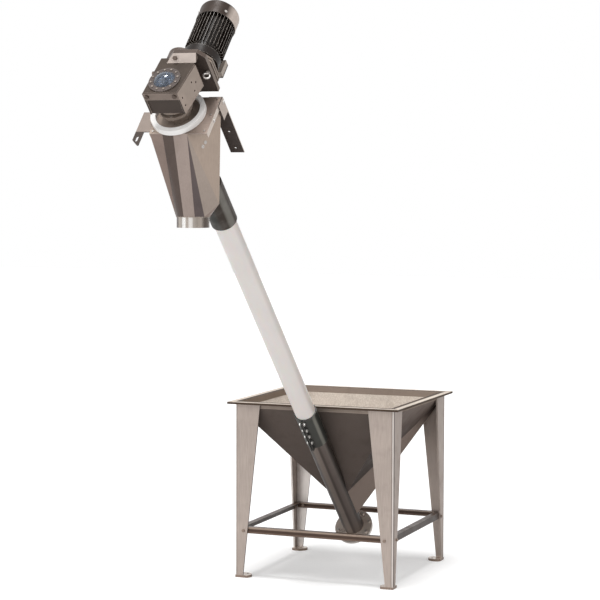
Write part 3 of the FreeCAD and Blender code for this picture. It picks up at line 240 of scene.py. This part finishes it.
def weathered(m, tone, clouds=0.12, grain=0.12, stretch=(1, 1, 0.05), wear=0.35, roughness=0.38,
              metallic=0.45, gloss=0.35):
    """Clouds of tone, a fine brushed grain, smudges and paler edges over the given tone; the pale edges are
    wear and painted highlights together.
    """
    soft = m.noise(cloud_spots, 4.0)
    fine = m.noise(grain_spots, 2.0, stretch)
    spots = m.noise(smudge_spots, 5.0)
    tone = m.mix(m.ramp(soft, 0.35, 0.65, clouds, 0.0), tone, black)
    tone = m.mix(m.ramp(fine, 0.3, 0.7, 0.0, grain), tone, black)
    tone = m.mix(m.ramp(spots, 0.55, 0.75, 0.0, 0.12), tone, black)
    # Pale edges: worn metal and painted highlights along every edge
    tone = m.mix(m.math("MULTIPLY", m.edges(sheet_edge), wear), tone, (0.90, 0.84, 0.79))
    m.set(Base_Color=tone, Metallic=metallic, Specular_IOR_Level=gloss,
          Roughness=m.ramp(spots, 0.3, 0.7, roughness - 0.07, roughness + 0.08),
          Normal=m.bump(fine, 0.12, grain_depth))
    return m.material


def shade_by_facing(m, base, faces):
    """The base colour, and another one painted on each face that looks a given way: painted light and shade.
    """
    tone = base
    for normal, low, high, colour in faces:
        tone = m.mix(m.ramp(m.facing(normal), low, high), tone, colour)
    return tone


def sheet(name, base, faces=(), **finish):
    m = Nodes(name)
    return weathered(m, shade_by_facing(m, base, faces), **finish)


def turned_steel(name, colour, roughness=0.25):
    m = Nodes(name)
    lines = m.noise(900.0, 1.0)
    tone = m.mix(m.ramp(lines, 0.3, 0.7), tuple(c * 0.75 for c in colour), colour)
    m.set(Base_Color=tone, Metallic=0.95, Roughness=m.ramp(lines, 0.3, 0.7, roughness, roughness + 0.12))
    return m.material


def painted_casting(name, colour, chip_and_glint_colour, faces=(), roughness=0.45, metallic=0.0, wear=0.6):
    m = Nodes(name)
    return cast_paint(m, shade_by_facing(m, colour, faces), chip_and_glint_colour, roughness, metallic, wear)


def cast_paint(m, tone, chip_and_glint_colour, roughness, metallic, wear):
    """Paint over a sand-cast surface, rubbed through on the edges; the pale edge chips are also painted
    highlights.
    """
    coarse = m.noise(cast_spots, 4.0)
    clouds = m.noise(cast_cloud_spots, 4.0)
    tone = m.mix(m.ramp(clouds, 0.35, 0.7, 0.22, 0.0), tone, black)
    # Pale edge chips: worn paint and painted highlights
    edge = m.math("MULTIPLY", m.edges(cast_edge), m.ramp(coarse, 0.35, 0.6, 0.2, wear))
    tone = m.mix(edge, tone, chip_and_glint_colour)
    m.set(Base_Color=tone, Metallic=metallic, Specular_IOR_Level=0.2,
          Roughness=m.ramp(clouds, 0.3, 0.7, roughness - 0.1, roughness + 0.1),
          Normal=m.bump(coarse, 0.25, cast_depth))
    return m.material


def plastic(name, colour, roughness, mottle=0.04, translucent=0.0, faces=()):
    m = Nodes(name)
    clouds = m.noise(6.0, 4.0)
    fine = m.noise(300.0, 2.0)
    tone = m.mix(m.ramp(clouds, 0.3, 0.7, mottle * 2, 0.0), shade_by_facing(m, colour, faces), black)
    m.set(Base_Color=tone, Roughness=m.ramp(clouds, 0.3, 0.7, roughness - 0.04, roughness + 0.06),
          Normal=m.bump(fine, 0.05, plastic_depth))
    if translucent:
        m.set(Subsurface_Weight=translucent, Subsurface_Scale=0.02)
    return m.material


def rubber(name, colour, roughness=0.6, faces=()):
    m = Nodes(name)
    fine = m.noise(500.0, 3.0)
    dust = m.noise(20.0, 5.0)
    tone = m.mix(m.ramp(dust, 0.45, 0.7, 0.0, 0.12), shade_by_facing(m, colour, faces), screen(170, 165, 160))
    m.set(Base_Color=tone, Roughness=roughness, Specular_IOR_Level=0.2,
          Normal=m.bump(fine, 0.15, plastic_depth))
    return m.material


def clear(name):
    m = Nodes(name)
    scratches = m.noise(60.0, 4.0)
    m.set(Base_Color=screen(142, 154, 172), Roughness=m.ramp(scratches, 0.4, 0.7, 0.02, 0.10),
          Transmission_Weight=0.85, IOR=1.45)
    return m.material


def hopper_sheet():
    """Painted light and shade: each wall toned by the way it faces, outside darker the more a wall faces
    down, up-facing faces paler in mottled patches, the rim's top light with a painted shadow line at its
    inner edge and its lip painted dark as shade.
    """
    m = Nodes("hopper_sheet")
    height = m.along(z_axis)
    # Painted shade on the walls that face the sides, changing with height
    side = m.mix(m.ramp(height, 0.70, 0.95), screen(64, 54, 49), screen(104, 91, 84))
    far_side_shade = m.mix(m.ramp(height, 0.80, 0.92), screen(134, 119, 110), screen(58, 47, 42))
    # Painted light and shade: the walls, the vertical faces and the up-facing faces toned by the way they
    # face
    tone = shade_by_facing(m, screen(120, 106, 98), [
        (heading(0, -37.5), 0.96, 0.99, screen(98, 87, 81)),
        (heading(90, -38.4), 0.97, 0.99, side),
        (heading(-90, -38.4), 0.97, 0.99, side),
        (heading(69.3, -20.1), 0.97, 0.99, far_side_shade),
        (heading(-69.3, -20.1), 0.97, 0.99, far_side_shade),
        (heading(0, 0), 0.985, 0.998, screen(166, 151, 140)),
        (heading(90, 0), 0.985, 0.998, screen(140, 124, 110)),
        (heading(-90, 0), 0.985, 0.998, screen(150, 133, 119)),
        (heading(0, 90), 0.05, 0.2, screen(196, 183, 171)),
        (heading(0, 90), 0.95, 0.99, screen(214, 201, 188)),
    ])
    # Painted light: up-facing faces paler in mottled patches
    pale_patches = m.noise(120.0, 6.0, (1, 0.35, 1))
    lit = m.ramp(m.facing(z_axis), 0.05, 0.2, 0.0, 0.4)
    tone = m.mix(m.math("MULTIPLY", lit, m.ramp(pale_patches, 0.42, 0.62)), tone, screen(234, 226, 214))
    off = m.off_square()
    # Painted shadow line along the rim's inner edge
    above = m.ramp(height, rim_top - 0.0010, rim_top - 0.0002)
    inner_shadow_line = m.math("MULTIPLY", above, m.ramp(off, rim_opening + 0.001, rim_opening - 0.001))
    tone = m.mix(inner_shadow_line, tone, screen(74, 60, 50))
    # Painted shade on the rim's outer lip
    below = m.ramp(height, rim_top - 0.0005, rim_top - 0.0015)
    lip_shade = m.math("MULTIPLY", below, m.ramp(off, rim_edge - 0.0015, rim_edge))
    tone = m.mix(lip_shade, tone, screen(78, 64, 54))
    return weathered(m, tone, stretch=(0.2, 1, 1), grain=0.10, metallic=0.1, roughness=0.62,
                     wear=0.2, gloss=0.15)


def leg_sheet():
    """Upright grain, painted light and shade on each face by the way it faces, a painted highlight along the
    bend with a thin painted shade line beside it, and painted light on the back-left leg's inner side.
    """
    m = Nodes("leg_sheet")
    bend_shade_line = screen(104, 91, 85)
    # Painted light and shade: each side of a leg toned by the way it faces
    tone = shade_by_facing(m, screen(184, 170, 161), [
        (heading(90), 0.9, 0.98, screen(165, 150, 141)),
        (heading(180), 0.9, 0.98, screen(150, 134, 126)),
        (heading(-90), 0.9, 0.98, screen(172, 158, 150)),
    ])
    # Painted light on the back-left leg's inner side, which lies in the hopper's shade
    in_back, on_left = m.ramp(m.along(y_axis), -0.1, 0.1), m.ramp(m.along(x_axis), 0.1, -0.1)
    back_left = m.math("MULTIPLY", in_back, on_left)
    inner_side_light = m.math("MULTIPLY", back_left, m.ramp(m.facing(-y_axis), 0.9, 0.98))
    tone = m.mix(inner_side_light, tone, screen(244, 236, 230))
    # Painted shade line beside the bend
    from_middle = m.math("ABSOLUTE", m.along(y_axis))
    near_edge = m.ramp(from_middle, leg_line - 0.001, leg_line + 0.001)
    across = m.ramp(m.math("ABSOLUTE", m.facing(x_axis)), 0.9, 0.97)
    tone = m.mix(m.math("MULTIPLY", near_edge, across), tone, bend_shade_line)
    # Painted shade line and painted highlight on the bend itself
    bend = m.bend()
    tone = m.mix(m.ramp(bend, 0.015, 0.05), tone, bend_shade_line)
    tone = m.mix(m.ramp(bend, 0.10, 0.16), tone, screen(222, 213, 207))
    return weathered(m, tone, stretch=(1, 1, 0.03), grain=0.18, clouds=0.12)


def rail_sheet():
    """Brown angle steel, with painted highlights along its upper and lower edge and painted light and shade
    on its faces by the way they face.
    """
    m = Nodes("rail_sheet")
    height = m.along(z_axis)
    # Painted highlights along the upper and lower edge
    upper_highlight = m.ramp(height, rail_upper_line - 0.002, rail_upper_line + 0.002)
    lower_highlight = m.ramp(height, rail_lower_line + 0.0015, rail_lower_line - 0.0015)
    tone = m.mix(upper_highlight, screen(77, 59, 49), screen(160, 141, 127))
    tone = m.mix(lower_highlight, tone, screen(112, 92, 80))
    # Painted light and shade: up-facing faces and the faces across X in their own tones
    tone = m.mix(m.ramp(m.facing(z_axis), 0.8, 0.95), tone, screen(92, 74, 64))
    across = m.math("ABSOLUTE", m.facing(x_axis))
    tone = m.mix(m.ramp(across, 0.8, 0.95), tone, screen(56, 42, 34))
    return weathered(m, tone, stretch=(0.05, 0.05, 1), grain=0.14, metallic=0.25, gloss=0.3)


def head_sheet():
    """Facets of the folded head: two dark ones between lighter ones, painted reflections of the room."""
    m = Nodes("head_sheet")
    # Painted light and reflections: each facet toned by the way it faces
    tone = shade_by_facing(m, screen(150, 132, 123), [
        (heading(62.3, -3.3), 0.97, 0.995, screen(176, 158, 144)),
        (heading(54.3, -8.2), 0.985, 0.997, screen(166, 152, 142)),
        (heading(90, 0), 0.9, 0.99, screen(182, 168, 158)),
        (heading(-97, -6.7), 0.8, 0.95, screen(120, 104, 95)),
        (heading(180, 0), 0.6, 0.95, screen(140, 125, 116)),
    ])
    x, z = m.along(x_axis), m.along(z_axis)

    def beside(top, bottom):
        """Distance in X from the line between two points given as x and z."""
        slope = (bottom[0] - top[0]) / (bottom[1] - top[1])
        line_x = m.math("ADD", m.math("MULTIPLY", z, slope), top[0] - slope * top[1])
        return m.math("SUBTRACT", x, line_x)

    top_z = on_line(0, lid_front_square, lid_front_along).z
    low_z = on_line(0, 0, lid_along).z - ring_drop
    left, middle, right = [(head_x - lid_half + crease, top_z) for crease in crease_from_end]

    def low(degrees):
        """Point on the outlet ring, as x and z, by its angle from the front towards +X."""
        return head_x + ring_radius * math.sin(math.radians(degrees)), low_z

    def band(tone, colour, mask, tops, lows):
        """Another colour between a left and a right line, each from a top point to a low one."""
        from_left = m.ramp(beside(tops[0], lows[0]), -crease_border, crease_border)
        from_right = m.ramp(beside(tops[1], lows[1]), crease_border, -crease_border)
        return m.mix(m.math("MULTIPLY", m.math("MULTIPLY", from_left, from_right), mask), tone, colour)

    # Painted reflections: dark and light bands between the creases
    front = m.ramp(m.facing(heading(-25, -8)), 0.2, 0.3)
    front_right = m.ramp(m.facing(heading(30, -8)), 0.3, 0.4)
    tone = band(tone, screen(96, 83, 77), front, (left, middle), (low(-67.5), low(-9)))
    tone = band(tone, screen(170, 154, 146), front, (middle, right), (low(-9), low(30)))
    tone = band(tone, screen(98, 87, 86), front_right, (right, right), (low(30), low(66)))
    return weathered(m, tone, stretch=(1, 1, 0.04), grain=0.12, clouds=0.14)


def lid_sheet():
    """Lid with painted light and shade: dark in the middle as painted shade, painted light at its left end
    and its right part, its turned-down flanges painted light on the +X side and shaded on the -X side.
    """
    m = Nodes("lid_sheet")
    place = m.along(x_axis)
    # Painted shade across the middle of the lid, painted light at its ends
    tone = m.mix(m.ramp(place, -0.07, 0.05), screen(176, 159, 146), screen(110, 95, 84))
    tone = m.mix(m.ramp(place, 0.07, 0.16), tone, screen(168, 151, 141))
    # Painted light on the +X flange, painted shade on the -X flange
    tone = m.mix(m.ramp(m.facing(x_axis), 0.8, 0.95), tone, screen(214, 202, 192))
    tone = m.mix(m.ramp(m.facing(-x_axis), 0.8, 0.95), tone, screen(120, 105, 95))
    return weathered(m, tone, stretch=(0.05, 1, 1))


def left_bracket_sheet():
    """Light wing with its arm painted dark as shade."""
    m = Nodes("left_bracket_sheet")
    edge = line_square.dot(line_zero) - wing_front
    # Painted shade on the arm, in front of the wing's front edge
    arm_shade = m.ramp(m.along(line_square), edge - border, edge + border, 1.0, 0.0)
    tone = m.mix(arm_shade, screen(154, 140, 131), screen(70, 59, 53))
    return weathered(m, tone, metallic=0.25)


def reflection_streaked(name, base, reflections, round_axis, **finish):
    """A turned or rolled pipe, with painted bright and dark reflections that run along it."""
    m = Nodes(name)
    tone = base
    for degrees, half_width, colour in reflections:
        far = math.cos(math.radians(half_width * 1.6))
        near = math.cos(math.radians(half_width * 0.6))
        # Painted reflection at a fixed angle round the pipe
        tone = m.mix(m.ramp(m.facing(round_axis(degrees)), far, near), tone, colour)
    return weathered(m, tone, **finish)


def gear_face_shades(top, front, right, left):
    """Painted light and shade on a casting by the way its faces look: up the line, under it and to both
    sides.
    """
    return [(normal, 0.75, 0.9, tone) for normal, tone in (
        (line_up, top), (-line_square, front), (x_axis, right), (-x_axis, left))]


def gearbox_casting():
    """Leaning block, painted light and shade by the way its faces look, its recessed front painted dark under
    a band painted light.
    """
    m = Nodes("gearbox_casting")
    face_shades = gear_face_shades(screen(73, 62, 54), screen(74, 64, 58), screen(168, 153, 142), screen(88, 77, 70))
    tone = shade_by_facing(m, screen(100, 88, 80), face_shades)
    housing = nodes["gearbox_housing"]
    edge = max(line_up.dot(housing.matrix_world @ vertex.co) for vertex in housing.data.vertices) - gear_band
    # Painted light on the band along the top of the front
    band = m.ramp(m.along(line_up), edge - border, edge + border)
    front = m.ramp(m.facing(-line_square), 0.75, 0.9)
    tone = m.mix(m.math("MULTIPLY", band, front), tone, screen(138, 124, 115))
    return cast_paint(m, tone, screen(214, 203, 194), 0.45, 0.15, 0.7)


finishes = {
    "sheet": sheet("stainless_sheet", screen(165, 150, 141), roughness=0.4),
    "rail": rail_sheet(),
    # Feet with painted light on their tops
    "foot": sheet("stainless_foot", screen(150, 132, 120), [
        (z_axis, 0.8, 0.95, screen(205, 190, 178))], metallic=0.7, roughness=0.3),
    "fastener": turned_steel("zinc_fastener", screen(205, 200, 196)),
    # Painted reflections along the pipe
    "pipe": reflection_streaked("stainless_pipe", screen(92, 81, 75), [
        (-34, 10, screen(66, 57, 53)), (2, 14, screen(132, 120, 112)), (24, 6, screen(84, 74, 69)),
        (46, 12, screen(108, 97, 91)), (88, 18, screen(62, 54, 50))],
        round_line, stretch=(0.1, 1, 1), metallic=0.35),
    "gasket": rubber("gasket_rubber", screen(46, 44, 44)),
    "cover_white": plastic("cover_plastic", screen(228, 220, 214), 0.45),
    # Painted shade along the tube's far side
    "tube_white": plastic("tube_plastic", screen(224, 216, 212), 0.32, mottle=0.02, translucent=0.25,
                          faces=[(round_line(115), 0.6, 0.95, screen(196, 187, 181))]),
    # Painted reflections along the coupling
    "coupling": reflection_streaked("coupling_dark", screen(72, 72, 68), [
        (60, 8, screen(118, 116, 108)), (-10, 10, screen(52, 52, 49)), (95, 16, screen(48, 48, 45))],
        round_line, stretch=(0.2, 1, 1), metallic=0.4),
    # Painted highlight streak and painted shade along the sleeve
    "sleeve": rubber("sleeve_rubber", screen(54, 46, 40), 0.5, faces=[
        (round_line(62), 0.93, 0.99, screen(108, 105, 99)),
        (round_line(-20), 0.8, 0.95, screen(56, 56, 53))]),
    "ring_white": plastic("ring_plastic", screen(240, 238, 236), 0.4, mottle=0.02),
    "drive_casting": painted_casting("drive_casting", screen(150, 136, 125), screen(225, 218, 210),
                                     metallic=0.4),
    # Painted light and shade on the gear casting's faces
    "gear_casting": painted_casting("gear_casting", screen(112, 98, 90), screen(208, 196, 186), gear_face_shades(
        screen(116, 102, 94), screen(80, 69, 63), screen(178, 164, 153), screen(98, 86, 79)),
        metallic=0.15),
    # Near-black motor paint; its many pale edge chips are worn paint and painted highlights
    "motor_casting": painted_casting("motor_casting", screen(30, 21, 16), screen(226, 217, 208),
                                     roughness=0.42, wear=0.9),
    # Painted shade on the cowl's left and painted light on its right
    "cowl": painted_casting("cowl_paint", screen(60, 48, 41), screen(214, 203, 194), [
        (round_line(-75), 0.75, 0.98, screen(60, 50, 45)),
        (round_line(80), 0.72, 0.92, screen(200, 186, 176))], roughness=0.42, metallic=0.1),
    "winding": painted_casting("winding_core", screen(150, 96, 60), screen(225, 180, 130)),
    "shaft_steel": turned_steel("shaft_steel", screen(200, 197, 194), 0.2),
    "bearing": turned_steel("bearing_steel", screen(210, 208, 206), 0.15),
    "fan_plastic": plastic("fan_plastic", screen(40, 38, 37), 0.4),
    "screw_steel": turned_steel("screw_steel", screen(190, 187, 183), 0.25),
    "clear_plastic": clear("clear_plastic"),
    "box_light": painted_casting("terminal_paint", screen(176, 164, 154), screen(228, 220, 212)),
    "box_dark": painted_casting("terminal_lid_paint", screen(62, 55, 51), screen(190, 180, 172)),
}
# Nodes that don't take the finish of their slot
node_finishes = {
    "hopper_shell": hopper_sheet(),
    "discharge_housing": head_sheet(),
    "drive_plate": lid_sheet(),
    # Painted light on the flange's face that looks up the line
    "inlet_flange": sheet("flange_sheet", screen(176, 164, 154), [
        (line_up, 0.8, 0.95, screen(200, 188, 178))], metallic=0.6, roughness=0.3),
    # Painted reflections round the spigot
    "discharge_spigot": reflection_streaked("spigot_sheet", screen(176, 166, 157), [
        (-52, 16, screen(104, 94, 87)), (-30, 6, screen(196, 187, 178)), (-10, 6, screen(250, 248, 245)),
        (16, 6, screen(238, 233, 228)), (44, 8, screen(150, 140, 131)), (80, 18, screen(96, 86, 79))],
        heading, stretch=(1, 1, 0.03), roughness=0.28, metallic=0.6),
    "bracket_left": left_bracket_sheet(),
    # Painted light on the +X face, the rest dark as painted shade
    "bracket_right": sheet("right_bracket_sheet", screen(72, 61, 56), [
        (x_axis, 0.8, 0.95, screen(190, 175, 164))], wear=0.2, metallic=0.2),
    "clamp_bolts": turned_steel("clamp_bolt_zinc", screen(232, 230, 226), 0.2),
    # Painted light and shade on the faces, painted light on the slope face
    "helical_case": painted_casting("case_casting", screen(96, 83, 76), screen(208, 196, 186), gear_face_shades(
        screen(92, 80, 73), screen(76, 66, 61), screen(128, 115, 106), screen(90, 78, 72)) + [
        ((line_up - line_square).normalized(), 0.9, 0.98, screen(216, 202, 193))], metallic=0.15),
    "shaft_cover_ring": painted_casting("cover_ring_casting", screen(98, 88, 84), screen(190, 180, 172)),
    "shaft_cover_screws": turned_steel("cover_screw_steel", screen(150, 140, 131), 0.35),
    "gear_bolts": turned_steel("gear_bolt_steel", screen(104, 92, 85), 0.35),
    "rail_bolts": turned_steel("rail_bolt_steel", screen(150, 134, 122), 0.35),
    "gearbox_housing": gearbox_casting(),
    "motor_flange": finishes["motor_casting"],
}
leg_finish = leg_sheet()
for corner in ("front_left", "front_right", "back_right", "back_left"):
    node_finishes["leg_" + corner] = leg_finish

for name, obj in nodes.items():
    for material_slot in obj.material_slots:
        material_slot.material = node_finishes.get(name) or finishes[slot_of[name]]


class Build:
    """Gathers the faces of one small piece."""

    def __init__(self):
        self.points, self.faces = [], []

    def ring_of_points(self, middle, axis, profile, count, ripple):
        side = axis.orthogonal().normalized()
        other = axis.cross(side)
        for row, (radius, height) in enumerate(profile):
            for i in range(count):
                angle = 2 * math.pi * i / count
                swell = radius + ripple * math.sin(ripple_waves * angle)
                outward = side * math.cos(angle) + other * math.sin(angle)
                self.points.append(middle + axis * height + outward * swell)

    def turned(self, middle, axis, profile, count, ripple=0.0, closed=False):
        """Turn a profile of radius and height round an axis; ends are capped unless it closes on itself."""
        first = len(self.points)
        self.ring_of_points(middle, Vector(axis).normalized(), profile, count, ripple)
        rows = len(profile)
        for row in range(rows if closed else rows - 1):
            low, high = first + row * count, first + (row + 1) % rows * count
            for i in range(count):
                j = (i + 1) % count
                self.faces.append((low + i, low + j, high + j, high + i))
        if not closed:
            self.faces.append(tuple(first + i for i in reversed(range(count))))
            self.faces.append(tuple(first + (rows - 1) * count + i for i in range(count)))

    def dome_head(self, middle, axis, radius):
        """Rounded screw head with a socket, on a thin washer of the same steel."""
        height, washer = radius * 0.62, 0.0016
        profile = [(radius * 1.32, 0.0), (radius * 1.36, 0.0006), (radius * 1.34, 0.0014),
                   (radius * 1.02, washer)]
        profile += [(radius * math.cos(a), washer + height * math.sin(a))
                    for a in [math.radians(d) for d in (0, 15, 30, 45, 58)]]
        profile += [(radius * 0.46, 0.0014 + height), (radius * 0.40, 0.0012 + height)]
        profile.append((radius * 0.38, height * 0.6))
        self.turned(middle, axis, profile, 24)

    def washer(self, middle, axis, inner, outer, thickness):
        """Flat ring with its outer edges bevelled."""
        edge = thickness * 0.25
        profile = [(inner, 0.0), (outer - edge, 0.0), (outer, edge), (outer, thickness - edge),
                   (outer - edge, thickness), (inner, thickness)]
        self.turned(middle, axis, profile, 28, closed=True)

    def bead(self, middle, axis, radius, thickness):
        """Weld bead round a pipe, with the ripples of the welding passes."""
        profile = [(radius + thickness * math.cos(a), thickness * math.sin(a))
                   for a in [math.radians(45 * k) for k in range(8)]]
        self.turned(middle, axis, profile, 240, ripple=thickness * ripple_share, closed=True)

    def straight_bead(self, start, end, thickness):
        """Weld bead along a straight seam, its ripples swelling and thinning it."""
        start, end = Vector(start), Vector(end)
        axis = (end - start).normalized()
        length = (end - start).length
        steps = max(8, int(length / (thickness * 0.7)))
        tip = thickness * 0.3
        profile = [(tip, 0.0)]
        profile += [(thickness * (1.0 + 0.14 * math.sin(2.1 * k)), length * k / steps)
                    for k in range(1, steps)]
        profile.append((tip, length))
        self.turned(start, axis, profile, 10)

    def piece(self, name, finish):
        """Make the object, which rides the fixed body."""
        mesh = bpy.data.meshes.new(name)
        mesh.from_pydata([tuple(p) for p in self.points], [], self.faces)
        mesh.validate()
        work = bmesh.new()
        work.from_mesh(mesh)
        bmesh.ops.recalc_face_normals(work, faces=work.faces)
        for face in work.faces:
            face.smooth = len(face.verts) == 4
        work.to_mesh(mesh)
        work.free()
        mesh.set_sharp_from_angle(angle=math.radians(35))
        mesh.materials.append(finish)
        obj = add_object(name, mesh)
        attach(obj, "frame")


def small_pieces():
    """Screws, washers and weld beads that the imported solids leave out."""
    zinc = finishes["fastener"]
    weld = sheet("weld_bead", screen(150, 134, 122), metallic=0.6, roughness=0.3)

    cowl_screws = Build()
    for quarter in range(4):
        angle = math.radians(45 + 90 * quarter)
        outward = x_axis * math.cos(angle) + line_up * math.sin(angle)
        middle = on_line(motor_x, cowl_screw_square, motor_along)
        cowl_screws.dome_head(middle + outward * cowl_radius, outward, 0.0055)
    cowl_screws.piece("cowl_screws", zinc)

    lid_screws = Build()
    for side in (-1, 1):
        for square in terminal_screw_squares:
            place = on_line(motor_x + terminal_screw_x * side, square, terminal_lid_along)
            lid_screws.dome_head(place, -line_up, 0.0045)
    lid_screws.piece("terminal_lid_screws", zinc)

    side_bolts = Build()
    for place in side_bolt_places:
        side_bolts.dome_head(on_line(*place), x_axis, 0.0075)
    for place in facet_bolt_places:
        side_bolts.dome_head(on_line(*place), side_facet, 0.0065)
    side_bolts.piece("head_side_bolts", zinc)

    washers = Build()
    for k in range(clamp_bolt_count):
        along = clamp_first + (clamp_last - clamp_first) * k / (clamp_bolt_count - 1)
        for side in (-1, 1):
            place = on_line(clamp_washer_x * side, clamp_washer_square, along)
            washers.washer(place, x_axis * side, 0.0052, 0.0108, 0.0016)
    washers.piece("clamp_washers", zinc)

    flange_weld = Build()
    flange_weld.bead(on_line(0, 0, flange_weld_along), line_up, 0.0615, 0.0022)
    flange_weld.piece("flange_weld", weld)

    spigot_weld = Build()
    spigot_weld.bead(on_line(head_x * 1000, 0, lid_along) + spigot_seam, z_axis, 0.0806, 0.0016)
    spigot_weld.piece("spigot_weld", weld)

    rim_welds = Build()
    for x in (-1, 1):
        for y in (-1, 1):
            ends = [(reach * x, reach * y, corner_seam_height) for reach in corner_seam_ends]
            rim_welds.straight_bead(*ends, 0.0016)
    rim_welds.piece("rim_corner_welds", weld)


def stage_floor():
    """A pale floor, white to the camera outside the object's shadow."""
    mesh = bpy.data.meshes.new("studio_floor")
    signs = ((-1, -1), (1, -1), (1, 1), (-1, 1))
    mesh.from_pydata([(x * floor_half, y * floor_half, 0) for x, y in signs], [], [(0, 1, 2, 3)])
    m = Nodes("studio_floor")
    camera_ray = m.add("ShaderNodeLightPath").outputs["Is Camera Ray"]
    m.set(Base_Color=(0.80, 0.80, 0.80), Roughness=0.9, Specular_IOR_Level=0.1,
          Emission_Color=(1.0, 1.0, 1.0), Emission_Strength=m.math("MULTIPLY", camera_ray, floor_glow))
    mesh.materials.append(m.material)
    add_object("studio_floor", mesh)


def studio_world():
    """Even light, and plain white where the camera or a reflection sees it."""
    world = bpy.data.worlds.new("studio")
    bpy.context.scene.world = world
    world.use_nodes = True
    tree = world.node_tree
    tree.nodes.clear()
    output = tree.nodes.new("ShaderNodeOutputWorld")
    soft = tree.nodes.new("ShaderNodeBackground")
    soft.inputs["Color"].default_value = (1.0, 0.99, 0.98, 1)
    soft.inputs["Strength"].default_value = sky_strength
    white = tree.nodes.new("ShaderNodeBackground")
    white.inputs["Color"].default_value = (1.0, 1.0, 1.0, 1)
    white.inputs["Strength"].default_value = 1.0
    rays = tree.nodes.new("ShaderNodeLightPath")
    seen = rays.outputs["Is Camera Ray"]
    for ray in ("Is Glossy Ray", "Is Transmission Ray"):
        either = tree.nodes.new("ShaderNodeMath")
        either.operation = "MAXIMUM"
        tree.links.new(seen, either.inputs[0])
        tree.links.new(rays.outputs[ray], either.inputs[1])
        seen = either.outputs[0]
    mix = tree.nodes.new("ShaderNodeMixShader")
    tree.links.new(seen, mix.inputs[0])
    tree.links.new(soft.outputs[0], mix.inputs[1])
    tree.links.new(white.outputs[0], mix.inputs[2])
    tree.links.new(mix.outputs[0], output.inputs["Surface"])


def sun(name, toward, strength, softness):
    """Parallel light from a direction, its disc as wide as softness in degrees."""
    data = bpy.data.lights.new(name, "SUN")
    data.energy = strength
    data.angle = math.radians(softness)
    add_object(name, data).rotation_euler = toward.to_track_quat("Z", "Y").to_euler()


def studio_camera():
    """The photograph's view, as a level camera turned by a small roll."""
    back = heading(camera_azimuth, camera_elevation)
    right = z_axis.cross(back).normalized()
    up = back.cross(right)
    place = right * camera_side + z_axis * camera_height + back * camera_distance
    roll = math.radians(camera_roll)
    rolled_right = right * math.cos(roll) + up * math.sin(roll)
    rolled_up = up * math.cos(roll) - right * math.sin(roll)
    data = bpy.data.cameras.new("camera")
    data.sensor_width = sensor_mm
    data.lens = camera_focal_px / image_px * sensor_mm
    data.clip_end = 100.0
    camera = add_object("camera", data)
    turn = Matrix((rolled_right, rolled_up, back)).transposed()
    camera.matrix_world = Matrix.Translation(place) @ turn.to_4x4()
    bpy.context.scene.camera = camera


small_pieces()
stage_floor()
studio_world()
sun("key", heading(-25, 30), 1.0, 60)
sun("side", heading(70, 25), 0.8, 60)
sun("top", heading(-10, 84), 2.0, 22)
studio_camera()
bpy.context.scene.view_settings.view_transform = "Standard"
